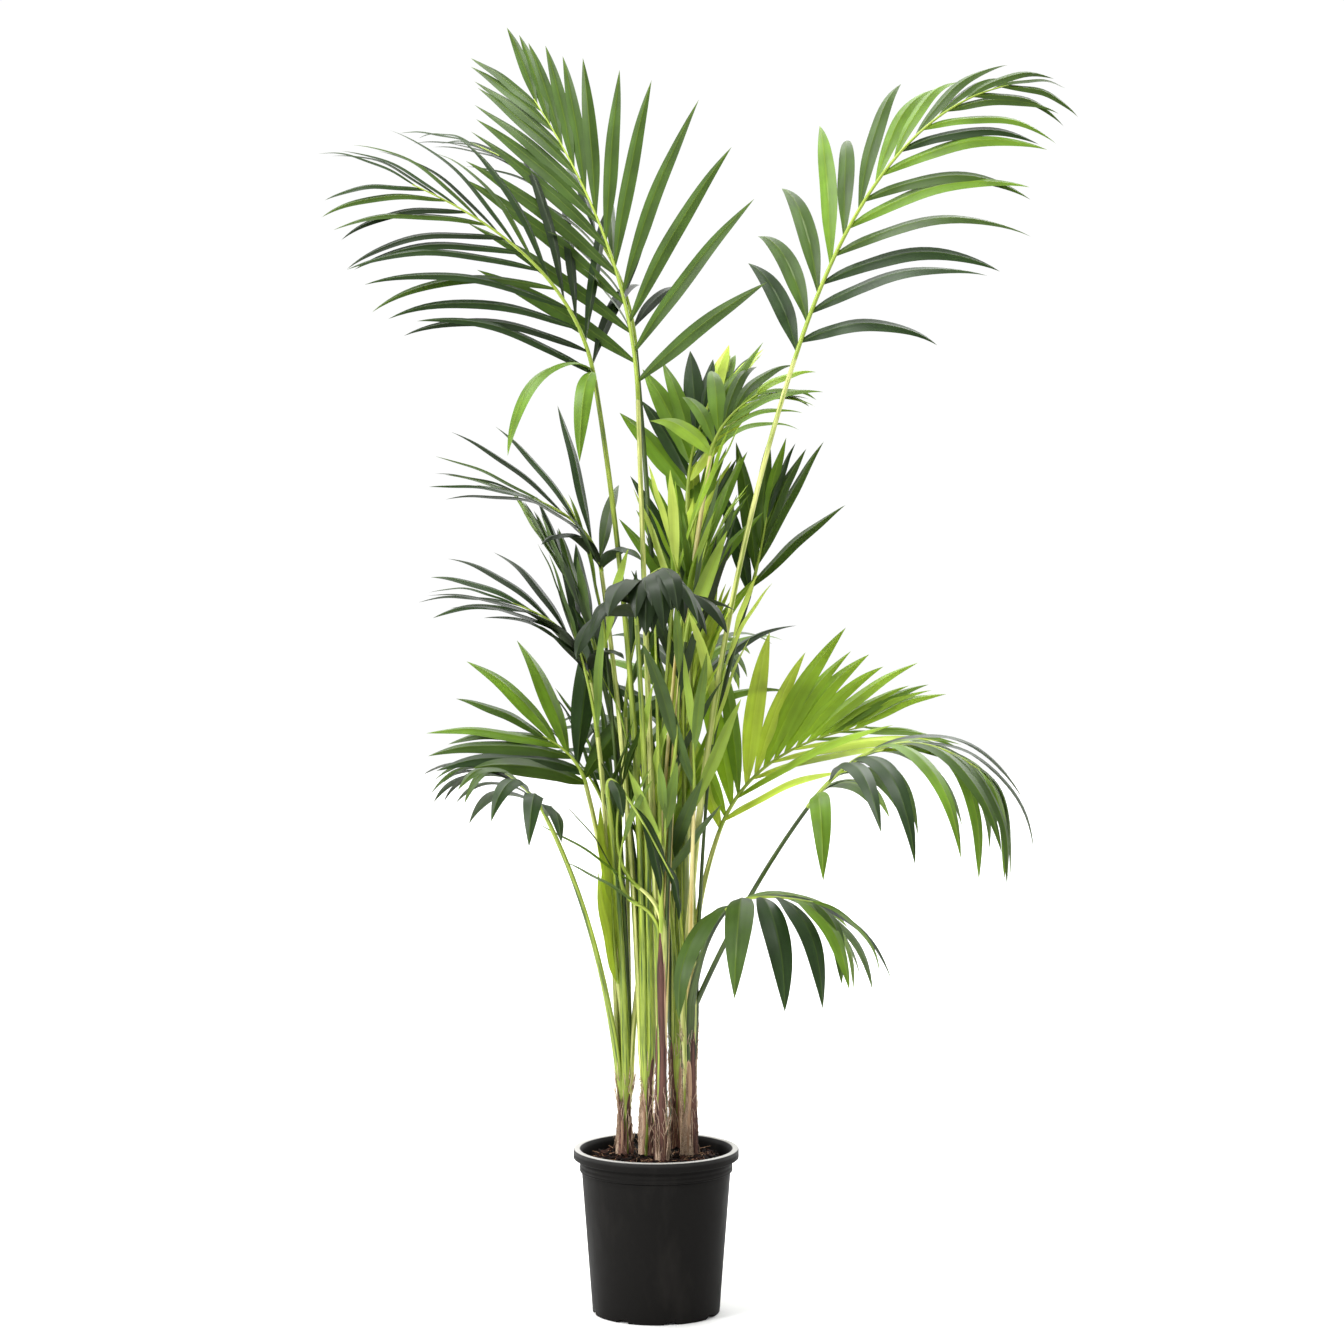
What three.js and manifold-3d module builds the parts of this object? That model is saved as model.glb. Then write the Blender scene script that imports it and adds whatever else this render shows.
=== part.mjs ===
// A potted kentia palm: a black nursery pot filled with soil, five stems, and on each stem its petioles,
// every one of which carries a frond of narrow leaflets. Two unopened leaves stand among them.
// Millimetres, +Z up. The pot's axis is Z, its underside is Z = 0 and the front of the plant faces -Y.
// Headings are plan angles in degrees: 0 points to +X, 90 to +Y. Leans are degrees from upright.
import * as THREE from "three";
import { mergeVertices } from "three/addons/utils/BufferGeometryUtils.js";
import Module from "manifold-3d";

const wasm = await Module();
wasm.setup();

const GAP = 0.3; // left between two pieces that stand on one another
const UP = new THREE.Vector3(0, 0, 1);
const DOWN = new THREE.Vector3(0, 0, -1);

// The pot, a black moulded nursery container.
const POT_HEIGHT = 240;
const RIM_RADIUS = 120;
const LIP_DEPTH = 14; // of the edge that is turned down outside
const RIM_FLAT = 5; // width of the rim's top
const RIM_DIP = 5; // how far the inside slopes down from it
const COLLAR_RADIUS = 111;
const COLLAR_DEPTH = 34; // of the band under the rim, lip and all
const COLLAR_STEP = 3; // how far that band stands out of the wall
const FOOT_RADIUS = 92.5;
const WALL = 2.5;
const CHAMFER = 2;
const FLOOR = 7; // height of the inside floor
const RECESS = 4; // the hollow between the foot ring and the middle pad
const PAD_RADIUS = 28;
const FOOT_RING = 20; // width of the ring that the pot stands on
const POT_SIDES = 28;
const NOTCHES = 8; // drain notches through the foot ring
const FIRST_NOTCH = 13.5; // its heading
const NOTCH_WIDTH = 16;
const NOTCH_HEIGHT = 4.6;
const NOTCH_LENGTH = 34;
const NOTCH_RADIUS = 84; // of the circle that the notches' middles lie on

// The soil, a plug up to a low mound on which the stems stand.
const MOUND_RADIUS = 78;
const MOUND_TOP = 230;
const SOIL_EDGE = 221;

// The stems: where each stands, how tall it is and how thick.
const STEM_SIDES = 10;
const STEM_RINGS = 7;
const HUSK_BULGE = 0.09; // share of the radius that the old leaf scars stand out
const STEMS = {
  left: { x: -46, y: 12, top: 345, foot: 15.5, head: 14.6 },
  inner: { x: -13, y: 0, top: 400, foot: 15.5, head: 14.6 },
  front: { x: 8, y: -36, top: 560, foot: 16, head: 11.8 },
  right: { x: 48, y: 4, top: 450, foot: 16, head: 14.6 },
  back: { x: 30, y: 52, top: 420, foot: 16, head: 14.6 },
};
const FEET_RING = { left: 9.5, inner: 9.5, front: 6.8, right: 9.5, back: 9.5 };

// Petioles and the ribs that carry on from them.
const PETIOLE_FOOT = 4.6;
const PETIOLE_HEAD = 3.2;
const RIB_TIP = 2.1;
const PETIOLE_SIDES = 6;
const RIB_SIDES = 4;
const PETIOLE_BEND = 0.55; // share of the chord that a petiole holds its first lean
const PETIOLE_LENGTHS = 5; // straight lengths that a petiole and a rib are made of
const RIB_LENGTHS = 8;

// Leaflets.
const LEAF_STEPS = 12; // along a leaflet's path
const STRIDE_STRAIGHT = 4;
const STRIDE_HANGING = 3;
const HANGING = 60; // a droop in degrees from which a leaflet gets the shorter stride
const ROOT_SHARE = 0.15; // of a leaflet's full width at its root
const WIDEST_AT = 0.3;
const TAPER = 2.5;
const LEAF_THICK_SHARE = 0.012; // of a leaflet's length
const LEAF_THICK_LEAST = 2.6;
const LENGTH_FALL = 1.2;
const TIP_WIDTH = 0.62; // share of the full width that the last leaflets of a frond have
const FREE_FROM = 3; // the step from which leaflets of one frond keep apart, where they can
const LEVEL_BY = 0.3; // share of a leaflet over which its blade turns level
const SWAY = 3; // degrees that the leaflets of a frond stray from the even fan
const LENGTH_SWAY = 0.05;
const DROOP_SWAY = 0.14;
const SLIVERS = [0.2, 0.25, 0.15, 0.1, 0.05]; // depths of facet merged where leaflets join their rib
const CORNER_MM = 1e-4; // corners nearer than this count as one
const FIRST_AT = 0.02; // along the rib
const LAST_AT = 0.98;
const SIDE_SHIFT = 0.35; // of a leaflet's spacing, between the right and the left of a pair
const CLEARANCE = 0.6; // all round a leaflet, to every piece but its own frond
const SWINGS = [0, 7, -7, 14, -14]; // tried in turn for a leaflet that would touch something
const LIFTS = [0, 9, -9, 18, -18];
const SHARES = [1, 0.82, 0.66];

// One record a frond. slot is the heading of the petiole's foot on its stem, null in the middle;
// out and up place the throat from the foot, tipOut and tipUp the rib's end from the throat.
// leftFrom is the share of the rib below which its left side is bare, sway how far leaflets stray from
// their neighbours and level how far their blades turn level.
const FROND = {
  lean: 2, arch: 0.5, pairs: 9, leaf: 200, width: 22, spread: 50, spreadTip: 12, close: 2, crowd: 1,
  sway: 1, lift: 10, droop: 30, hang: 1.3, level: 1, face: 0, baseLeaf: 0.8, tipLeaf: 0.55, leftFrom: 0,
  straps: [],
};
const FRONDS = {
  top_centre: {
    stem: "front", slot: 150, heading: 140, lean: 3, out: 36, up: 1322,
    blade: 130, tipOut: 240, tipUp: 1762, arch: 0.42,
    pairs: 12, leaf: 300, width: 22, spread: 57, spreadTip: 13, close: 2.4, sway: 0.3,
    lift: 12, droop: 14, level: 0.3, face: 48, baseLeaf: 0.72, tipLeaf: 0.5, leftFrom: 0.1,
  },
  top_left: {
    stem: "inner", slot: 240, heading: 205, lean: 0, out: 76, up: 1350,
    blade: 195, tipOut: 262, tipUp: 1622, arch: 0.47,
    pairs: 12, leaf: 310, width: 21, spread: 54, spreadTip: 17, close: 1.2,
    lift: -16, droop: 42, hang: 1.6, face: 58, baseLeaf: 0.92, tipLeaf: 0.45,
    straps: [
      { at: 0.03, heading: 228, lean: 50, length: 250, width: 28, droop: 125, hang: 0.7 },
      { at: 0.02, heading: 262, lean: 62, length: 200, width: 26, droop: 115, hang: 0.6 },
    ],
  },
  top_right: {
    stem: "right", slot: 213, heading: 350, lean: 3, out: 160, up: 1380,
    blade: 5, tipOut: 305, tipUp: 1768, arch: 0.74,
    pairs: 12, leaf: 285, width: 26, spread: 46, spreadTip: 12, close: 1,
    lift: -16, droop: 55, hang: 1.4, face: -54, baseLeaf: 0.65, tipLeaf: 0.4,
  },
  top_back: {
    stem: "back", slot: 206, heading: 130, out: 80, up: 1400,
    blade: 150, tipOut: 290, tipUp: 1705,
    pairs: 9, leaf: 220, width: 15, spread: 52, spreadTip: 15,
    lift: 8, droop: 35,
  },
  crown_back: {
    stem: "back", slot: 278, heading: 80, out: 85, up: 1185,
    blade: 60, tipOut: 100, tipUp: 1340, arch: 0.5,
    pairs: 5, leaf: 190, width: 30, spread: 40, spreadTip: 8,
    lift: 15, droop: 20,
  },
  crown_right: {
    stem: "front", slot: 30, heading: 60, lean: 3, out: 130, up: 1240,
    blade: 10, tipOut: 70, tipUp: 1330,
    pairs: 4, leaf: 165, width: 24, spread: 50, spreadTip: 14,
    droop: 60, face: -40,
  },
  middle_right: {
    stem: "back", slot: 350, heading: 35, out: 118, up: 1035,
    blade: 30, tipOut: 30, tipUp: 1150, arch: 0.4,
    pairs: 4, leaf: 205, width: 23, spread: 32, spreadTip: 4,
    lift: 12, droop: 16, face: -42,
  },
  middle_back: {
    stem: "right", slot: 141, heading: 85, out: 50, up: 1005,
    blade: 75, tipOut: 60, tipUp: 1160, arch: 0.4,
    pairs: 5, leaf: 205, width: 22, spread: 34, spreadTip: 6,
    lift: 12, droop: 16,
  },
  middle_left: {
    stem: "inner", slot: 165, heading: 185, out: 56, up: 1076,
    blade: 190, tipOut: 110, tipUp: 1185,
    pairs: 6, leaf: 252, width: 19, spread: 55, close: 1.2,
    lift: 5, droop: 24, face: 26,
    straps: [
      { at: 0.03, heading: 300, lean: 35, length: 130, width: 34, droop: 90, hang: 0.9 },
      { at: 0.05, heading: 230, lean: 25, length: 150, width: 34, droop: 100, hang: 1 },
    ],
  },
  lower_left: {
    stem: "left", slot: 45, heading: 170, lean: 4, out: 56, up: 914,
    blade: 180, tipOut: 115, tipUp: 1030,
    pairs: 6, leaf: 235, width: 20, spread: 50, spreadTip: 10, close: 1.2,
    lift: 5, droop: 38, face: 26,
    straps: [
      { at: 0.05, heading: 215, lean: 20, length: 165, width: 34, droop: 60, hang: 1 },
      { at: 0.1, heading: 300, lean: 30, length: 120, width: 30, droop: 90, hang: 0.9 },
    ],
  },
  inner_left: {
    stem: "inner", slot: 90, heading: 172, out: 75, up: 962,
    blade: 176, tipOut: 65, tipUp: 1105, arch: 0.4,
    pairs: 4, leaf: 180, width: 26, spread: 30, spreadTip: 8,
    lift: 15, droop: 10,
  },
  inner_right: {
    stem: "inner", slot: 22, heading: 20, out: 40, up: 800,
    blade: 30, tipOut: 40, tipUp: 960, arch: 0.4,
    pairs: 5, leaf: 190, width: 24, spread: 24, spreadTip: 5,
    lift: 12, droop: 12,
  },
  middle_front: {
    stem: "inner", slot: 315, heading: 256, lean: 3, out: 85, up: 1005,
    blade: 290, tipOut: 105, tipUp: 1090,
    pairs: 5, leaf: 185, width: 32, spread: 42, spreadTip: 10,
    lift: -10, droop: 105, hang: 0.9,
  },
  low_left_fan: {
    stem: "left", slot: 145, heading: 188, lean: 0, out: 48, up: 768,
    blade: 180, tipOut: 62, tipUp: 838,
    pairs: 5, leaf: 252, width: 25, spread: 60, spreadTip: 12, close: 1,
    lift: 5, droop: 32, face: 50,
  },
  low_left_front: {
    stem: "left", slot: 215, heading: 215, lean: 8, out: 125, up: 729,
    blade: 200, tipOut: 62, tipUp: 795,
    pairs: 5, leaf: 220, width: 24, spread: 56, spreadTip: 34,
    lift: 5, droop: 86, hang: 1.1,
  },
  column_left: {
    stem: "left", slot: 345, heading: 30, out: 50, up: 640,
    blade: 50, tipOut: 35, tipUp: 785, arch: 0.4,
    pairs: 4, leaf: 175, width: 25, spread: 22, spreadTip: 5,
    lift: 12, droop: 10,
  },
  low_right_fan: {
    stem: "right", slot: 69, heading: 30, lean: 0, out: 46, up: 696,
    blade: 15, tipOut: 225, tipUp: 845, arch: 0.5,
    pairs: 8, leaf: 262, width: 24, spread: 42, spreadTip: 20, close: 1.2,
    lift: 22, droop: 28, face: -42,
  },
  low_right_arch: {
    stem: "right", slot: 357, heading: 345, lean: 24, out: 165, up: 740,
    blade: 345, tipOut: 250, tipUp: 800, arch: 0.75,
    pairs: 8, leaf: 330, width: 22, spread: 58, spreadTip: 34, crowd: 1.1,
    lift: 8, droop: 100, hang: 1.0, baseLeaf: 0.62,
  },
  low_right_front: {
    stem: "right", slot: 285, heading: 300, lean: 15, out: 100, up: 600,
    blade: 325, tipOut: 145, tipUp: 622, arch: 0.4,
    pairs: 6, leaf: 262, width: 28, spread: 75, spreadTip: 26,
    droop: 96, hang: 0.9,
  },
  low_front: {
    stem: "left", slot: 285, heading: 240, out: 50, up: 755,
    blade: 312, tipOut: 140, tipUp: 650,
    pairs: 3, leaf: 125, width: 20, spread: 26, spreadTip: 8,
    droop: 50,
  },
  young_left: {
    stem: "left", slot: null, heading: 230, lean: 1, out: 14, up: 480,
    blade: 150, tipOut: 10, tipUp: 640, arch: 0.4,
    pairs: 2, leaf: 200, width: 44, spread: 7, spreadTip: 4,
    lift: 10, droop: 3,
  },
  back_high: {
    stem: "back", slot: 62, heading: 85, lean: 4, out: 60, up: 820,
    blade: 80, tipOut: 290, tipUp: 940, arch: 0.6,
    pairs: 9, leaf: 215, spread: 46,
    lift: 12, droop: 60,
  },
  back_low: {
    stem: "back", slot: 134, heading: 110, lean: 6, out: 70, up: 715,
    blade: 105, tipOut: 260, tipUp: 830, arch: 0.6,
    pairs: 8, leaf: 205, spread: 46, spreadTip: 14,
    droop: 75,
  },
};

// Unopened leaves, straight from the middle of a stem.
const SPEAR_FOOT = 3.8;
const SPEAR_HEAD = 1.2;
const SPEARS = {
  front: { stem: "front", slot: 270, heading: 200, lean: 1, out: 10, up: 1010 },
  inner: { stem: "inner", slot: null, heading: 20, lean: 1, out: 8, up: 800 },
};

const FINISHES = {
  pot: { color: 0x262523, roughness: 0.55 },
  soil: { color: 0x3a2a20, roughness: 0.95 },
  stem: { color: 0x6b4a33, roughness: 0.85 },
  petiole: { color: 0x7d9a36, roughness: 0.45 },
  frond: { color: 0x3f5f2e, roughness: 0.5 },
};

const rad = THREE.MathUtils.degToRad;
const group = new THREE.Group();
group.name = "potted_kentia_palm";
const standing = []; // what a leaflet may not touch: solid, box and the frond it belongs to

// The unit vector of a lean from upright towards a heading.
function pointing(heading, lean) {
  const h = rad(heading);
  const l = rad(lean);
  return new THREE.Vector3(Math.sin(l) * Math.cos(h), Math.sin(l) * Math.sin(h), Math.cos(l));
}

const plan = (heading) => pointing(heading, 90);

// The solid of a closed geometry.
function solidOf(geometry) {
  geometry.deleteAttribute("normal");
  geometry.deleteAttribute("uv");
  const merged = mergeVertices(geometry);
  const mesh = new wasm.Mesh({
    numProp: 3,
    vertProperties: merged.attributes.position.array,
    triVerts: new Uint32Array(merged.index.array),
  });
  return new wasm.Manifold(mesh);
}

// A solid turned about an upright axis at x, y from pairs of radius and height, which start and end on it.
function turned(profile, sides, x = 0, y = 0) {
  const points = profile.map(([radius, z]) => new THREE.Vector2(radius, z));
  return solidOf(new THREE.LatheGeometry(points, sides).rotateX(Math.PI / 2).translate(x, y, 0));
}

// A closed solid through rings of equal count. A ring of one point is a tip; any other end is capped.
function loft(rings) {
  const points = rings.flat();
  const first = [];
  rings.reduce((sum, ring) => (first.push(sum), sum + ring.length), 0);
  const triangles = [];
  for (let i = 0; i + 1 < rings.length; i++) {
    const n = rings[i].length;
    const [low, high] = [first[i], first[i + 1]];
    for (let k = 0; k < n; k++) {
      const next = (k + 1) % n;
      if (rings[i + 1].length === 1) triangles.push([low + k, low + next, high]);
      else triangles.push([low + k, low + next, high + next], [low + k, high + next, high + k]);
    }
  }
  const cap = (start, n, flip) => {
    for (let k = 1; k + 1 < n; k++) {
      triangles.push(flip ? [start, start + k + 1, start + k] : [start, start + k, start + k + 1]);
    }
  };
  const last = rings.length - 1;
  cap(0, rings[0].length, true);
  if (rings[last].length > 1) cap(first[last], rings[last].length, false);
  const volume = triangles.reduce((sum, [a, b, c]) => {
    const cross = new THREE.Vector3().crossVectors(points[b], points[c]);
    return sum + points[a].dot(cross);
  }, 0);
  const outward = volume > 0 ? triangles : triangles.map(([a, b, c]) => [a, c, b]);
  const geometry = new THREE.BufferGeometry().setFromPoints(points);
  return solidOf(geometry.setIndex(outward.flat()));
}

function circle(centre, radius, sides, across, along) {
  return Array.from({ length: sides }, (_, k) => {
    const angle = (2 * Math.PI * k) / sides;
    return centre
      .clone()
      .addScaledVector(across, radius * Math.cos(angle))
      .addScaledVector(along, radius * Math.sin(angle));
  });
}

function addNode(name, solid, finish) {
  const mesh = solid.getMesh();
  const corners = new Float32Array(mesh.numVert * 3);
  for (let i = 0; i < mesh.numVert; i++) {
    const start = i * mesh.numProp;
    corners.set(mesh.vertProperties.subarray(start, start + 3), i * 3);
  }
  const geometry = new THREE.BufferGeometry();
  geometry.setAttribute("position", new THREE.BufferAttribute(corners, 3));
  geometry.setIndex(new THREE.BufferAttribute(new Uint32Array(mesh.triVerts), 1));
  geometry.computeVertexNormals();
  const material = new THREE.MeshStandardMaterial({ ...FINISHES[finish], metalness: 0 });
  const node = new THREE.Mesh(geometry, material);
  node.name = name;
  group.add(node);
}

function keepClearOf(solid, owner = null) {
  standing.push({ solid, box: solid.boundingBox(), owner });
}

const apart = (a, b) => [0, 1, 2].some((i) => a.min[i] > b.max[i] || b.min[i] > a.max[i]);

function touchesAny(solid, others) {
  const box = solid.boundingBox();
  return others.some((other) => !apart(box, other.box) && solid.intersect(other.solid).volume() > 0);
}

// The pot's inside, which runs straight up from the foot to the collar and is upright above it.
const innerRadius = (z) => {
  const neck = COLLAR_RADIUS - COLLAR_STEP;
  return Math.min(neck, FOOT_RADIUS + ((neck - FOOT_RADIUS) * z) / (POT_HEIGHT - COLLAR_DEPTH)) - WALL;
};

function pot() {
  const collar = POT_HEIGHT - COLLAR_DEPTH;
  const lip = POT_HEIGHT - LIP_DEPTH;
  const footInner = FOOT_RADIUS - FOOT_RING;
  let body = turned(
    [
      [0, 0],
      [PAD_RADIUS, 0],
      [PAD_RADIUS + RECESS, RECESS],
      [footInner - CHAMFER, RECESS],
      [footInner, 0],
      [FOOT_RADIUS - CHAMFER, 0],
      [FOOT_RADIUS, CHAMFER],
      [COLLAR_RADIUS - COLLAR_STEP, collar],
      [COLLAR_RADIUS, collar + CHAMFER],
      [COLLAR_RADIUS, lip],
      [RIM_RADIUS - CHAMFER, lip],
      [RIM_RADIUS, lip + CHAMFER],
      [RIM_RADIUS, POT_HEIGHT - CHAMFER],
      [RIM_RADIUS - CHAMFER, POT_HEIGHT],
      [RIM_RADIUS - CHAMFER - RIM_FLAT, POT_HEIGHT],
      [innerRadius(POT_HEIGHT), POT_HEIGHT - RIM_DIP],
      [innerRadius(collar), collar],
      [innerRadius(FLOOR), FLOOR],
      [0, FLOOR],
    ],
    POT_SIDES,
  );
  for (let k = 0; k < NOTCHES; k++) {
    const notch = new THREE.BoxGeometry(NOTCH_LENGTH, NOTCH_WIDTH, 2 * NOTCH_HEIGHT);
    const heading = rad(FIRST_NOTCH + (360 * k) / NOTCHES);
    body = body.subtract(solidOf(notch.translate(NOTCH_RADIUS, 0, 0).rotateZ(heading)));
  }
  return body;
}

function soil() {
  const foot = FLOOR + GAP;
  const collar = POT_HEIGHT - COLLAR_DEPTH;
  return turned(
    [
      [0, foot],
      [innerRadius(foot) - GAP, foot],
      [innerRadius(collar) - GAP, collar],
      [innerRadius(SOIL_EDGE) - GAP, SOIL_EDGE],
      [MOUND_RADIUS, MOUND_TOP],
      [0, MOUND_TOP],
    ],
    POT_SIDES,
  );
}

function stem({ x, y, top, foot, head }) {
  const low = MOUND_TOP + GAP;
  const profile = [[0, low]];
  for (let i = 0; i < STEM_RINGS; i++) {
    const share = i / (STEM_RINGS - 1);
    const scar = i % 2 === 1 ? HUSK_BULGE : 0;
    profile.push([(foot + (head - foot) * share) * (1 + scar), low + (top - low) * share]);
  }
  profile.push([0, top]);
  return turned(profile, STEM_SIDES, x, y);
}

// A bend that leaves from along one direction, which it holds for a share of the way to its end.
function bend(from, direction, to, hold) {
  const control = from.clone().addScaledVector(direction, hold * from.distanceTo(to));
  return new THREE.QuadraticBezierCurve3(from, control, to);
}

function footOf({ stem: name, slot }) {
  const { x, y, top } = STEMS[name];
  const foot = new THREE.Vector3(x, y, top);
  if (slot !== null) foot.addScaledVector(plan(slot), FEET_RING[name]);
  return foot;
}

function petioleCurve(frond) {
  const foot = footOf(frond);
  const throat = foot.clone().setZ(frond.up).addScaledVector(plan(frond.heading), frond.out);
  foot.z += GAP;
  return bend(foot, pointing(frond.heading, frond.lean), throat, PETIOLE_BEND);
}

function ribCurve(frond, petiole) {
  const way = petiole.getTangent(1);
  const from = petiole.getPoint(1).addScaledVector(way, GAP);
  const to = from.clone().setZ(frond.tipUp).addScaledVector(plan(frond.blade), frond.tipOut);
  return bend(from, way, to, frond.arch);
}

// A tapering round limb round a curve, made of straight lengths, its foot cut level where level is set.
function limb(curve, footRadius, headRadius, sides, lengths, level) {
  const rings = [];
  for (let i = 0; i <= lengths; i++) {
    const share = i / lengths;
    const way = level && i === 0 ? UP : curve.getTangent(share);
    const across = new THREE.Vector3(0, 1, 0).addScaledVector(way, -way.y).normalize();
    const along = new THREE.Vector3().crossVectors(way, across);
    const radius = footRadius + (headRadius - footRadius) * share;
    rings.push(circle(curve.getPoint(share), radius, sides, across, along));
  }
  return loft(rings);
}

// The point, direction, side and upper face of a rib at a share of its length.
function ribFrame(frond, curve, share) {
  const way = curve.getTangentAt(share);
  const flat = plan(frond.blade - 90);
  const side = flat.addScaledVector(way, -way.dot(flat)).normalize();
  const upper = new THREE.Vector3().crossVectors(side, way);
  const turn = rad(frond.face);
  return {
    point: curve.getPointAt(share),
    way,
    side: side.clone().multiplyScalar(Math.cos(turn)).addScaledVector(upper, Math.sin(turn)),
    upper: upper.clone().multiplyScalar(Math.cos(turn)).addScaledVector(side, -Math.sin(turn)),
  };
}

const leafWidth = (w) =>
  w < WIDEST_AT
    ? ROOT_SHARE + ((1 - ROOT_SHARE) * w) / WIDEST_AT
    : 1 - ((w - WIDEST_AT) / (1 - WIDEST_AT)) ** TAPER;

// Runs from 0 to 1 with soft ends.
const eased = (share) => {
  const inside = Math.min(1, share);
  return inside * inside * (3 - 2 * inside);
};

// One leaflet: a blade with a ridge along its upper face that sets off one way and droops to the ground,
// while the blade turns level.
// It is made from the step first on, and fattened all round by spare.
function leaflet({ root, way, across, length, width, droop, hang, level }, spare = 0, first = 0) {
  const fall = Math.acos(THREE.MathUtils.clamp(way.dot(DOWN), -1, 1));
  const sink = DOWN.clone().addScaledVector(way, -way.dot(DOWN)).normalize();
  const wayAt = (w) => {
    const angle = Math.min(rad(droop) * w ** hang, fall);
    return way.clone().multiplyScalar(Math.cos(angle)).addScaledVector(sink, Math.sin(angle));
  };
  const stride = droop >= HANGING ? STRIDE_HANGING : STRIDE_STRAIGHT;
  const thick = Math.max(LEAF_THICK_LEAST, LEAF_THICK_SHARE * length) + 2 * spare;
  const step = length / LEAF_STEPS;
  const point = root.clone();
  const rings = [];
  for (let i = 0; i <= LEAF_STEPS; i++) {
    const w = i / LEAF_STEPS;
    const here = wayAt(w);
    if (i > 0) {
      const before = wayAt((i - 1) / LEAF_STEPS);
      point.addScaledVector(before.add(here), step / 2);
    }
    if (i < first || i % stride !== 0) continue;
    if (i === LEAF_STEPS) {
      rings.push([point.clone().addScaledVector(here, spare)]);
      continue;
    }
    const leaning = new THREE.Vector3().crossVectors(here, UP).multiplyScalar(level * eased(w / LEVEL_BY));
    leaning.add(across);
    const side = leaning.addScaledVector(here, -leaning.dot(here)).normalize();
    const ridge = new THREE.Vector3().crossVectors(side, here);
    const half = (leafWidth(w) * width) / 2 + spare;
    const low = point.clone().addScaledVector(ridge, -thick / 2);
    rings.push([
      low.clone().addScaledVector(side, -half),
      low.clone().addScaledVector(side, half),
      point.clone().addScaledVector(ridge, thick / 2),
    ]);
  }
  return loft(rings);
}

// The sizes of the leaflet at one place of a rib, on its right (hand 1) or its left (hand -1). beat is its
// count along the rib, from which it strays a little from its neighbours.
function leafletSizes(frond, frame, share, hand, beat, variant) {
  const stray = frond.sway * Math.sin(2.4 * beat + 1.9 * hand);
  const other = frond.sway * Math.sin(3.7 * beat - 2.3 * hand);
  const fan = frond.spreadTip + (frond.spread - frond.spreadTip) * (1 - share) ** frond.close;
  const spread = rad(fan + SWAY * stray + variant.swing);
  const lift = rad(frond.lift + SWAY * other + variant.lift);
  const outward = frame.side
    .clone()
    .multiplyScalar(hand * Math.cos(lift))
    .addScaledVector(frame.upper, Math.sin(lift));
  const way = frame.way
    .clone()
    .multiplyScalar(Math.cos(spread))
    .addScaledVector(outward, Math.sin(spread));
  const face = new THREE.Vector3().crossVectors(way, frame.way).multiplyScalar(hand);
  const growth =
    share < WIDEST_AT
      ? 1 - (1 - frond.baseLeaf) * (1 - share / WIDEST_AT) ** 2
      : 1 - (1 - frond.tipLeaf) * ((share - WIDEST_AT) / (1 - WIDEST_AT)) ** LENGTH_FALL;
  return {
    root: frame.point,
    way,
    across: new THREE.Vector3().crossVectors(way, face).normalize(),
    length: frond.leaf * growth * variant.share * (1 + LENGTH_SWAY * other),
    width: frond.width * (1 - (1 - TIP_WIDTH) * share ** 2),
    droop: frond.droop * (1 + DROOP_SWAY * stray),
    hang: frond.hang,
    level: frond.level,
  };
}

function* variants() {
  for (const share of SHARES) {
    for (const lift of LIFTS) {
      for (const swing of SWINGS) yield { share, lift, swing };
    }
  }
}

// The first variant of a leaflet that stands clear of every other piece, and of its own frond's leaflets
// as well if one does; nothing where none is clear of the other pieces.
function clearLeaflet(sizesFor, owner, siblings) {
  const others = standing.filter((other) => other.owner !== owner);
  const touches = (variant) => touchesAny(leaflet(sizesFor(variant), CLEARANCE), others);
  const clear = [...variants()].filter((variant) => !touches(variant));
  if (clear.length === 0) return null;
  const free = (variant) => !touchesAny(leaflet(sizesFor(variant), 0, FREE_FROM), siblings);
  const sizes = sizesFor(clear.find(free) ?? clear[0]);
  const outer = leaflet(sizes, 0, FREE_FROM);
  siblings.push({ solid: outer, box: outer.boundingBox() });
  keepClearOf(leaflet(sizes, CLEARANCE / 2), owner);
  return leaflet(sizes);
}

// Whether a solid is one body whose every edge still parts two facets once its nearest corners are merged.
function isTight(solid) {
  const { numTri, numProp, vertProperties, triVerts } = solid.getMesh();
  const corner = (i) => {
    const start = triVerts[i] * numProp;
    return [0, 1, 2].map((k) => Math.round(vertProperties[start + k] / CORNER_MM)).join();
  };
  const edges = new Map();
  for (let t = 0; t < numTri; t++) {
    const corners = [corner(3 * t), corner(3 * t + 1), corner(3 * t + 2)];
    if (new Set(corners).size < 3) continue;
    corners.forEach((from, k) => {
      const edge = [from, corners[(k + 1) % 3]].sort().join(" ");
      edges.set(edge, (edges.get(edge) ?? 0) + 1);
    });
  }
  return solid.decompose().length === 1 && [...edges.values()].every((uses) => uses === 2);
}

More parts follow.
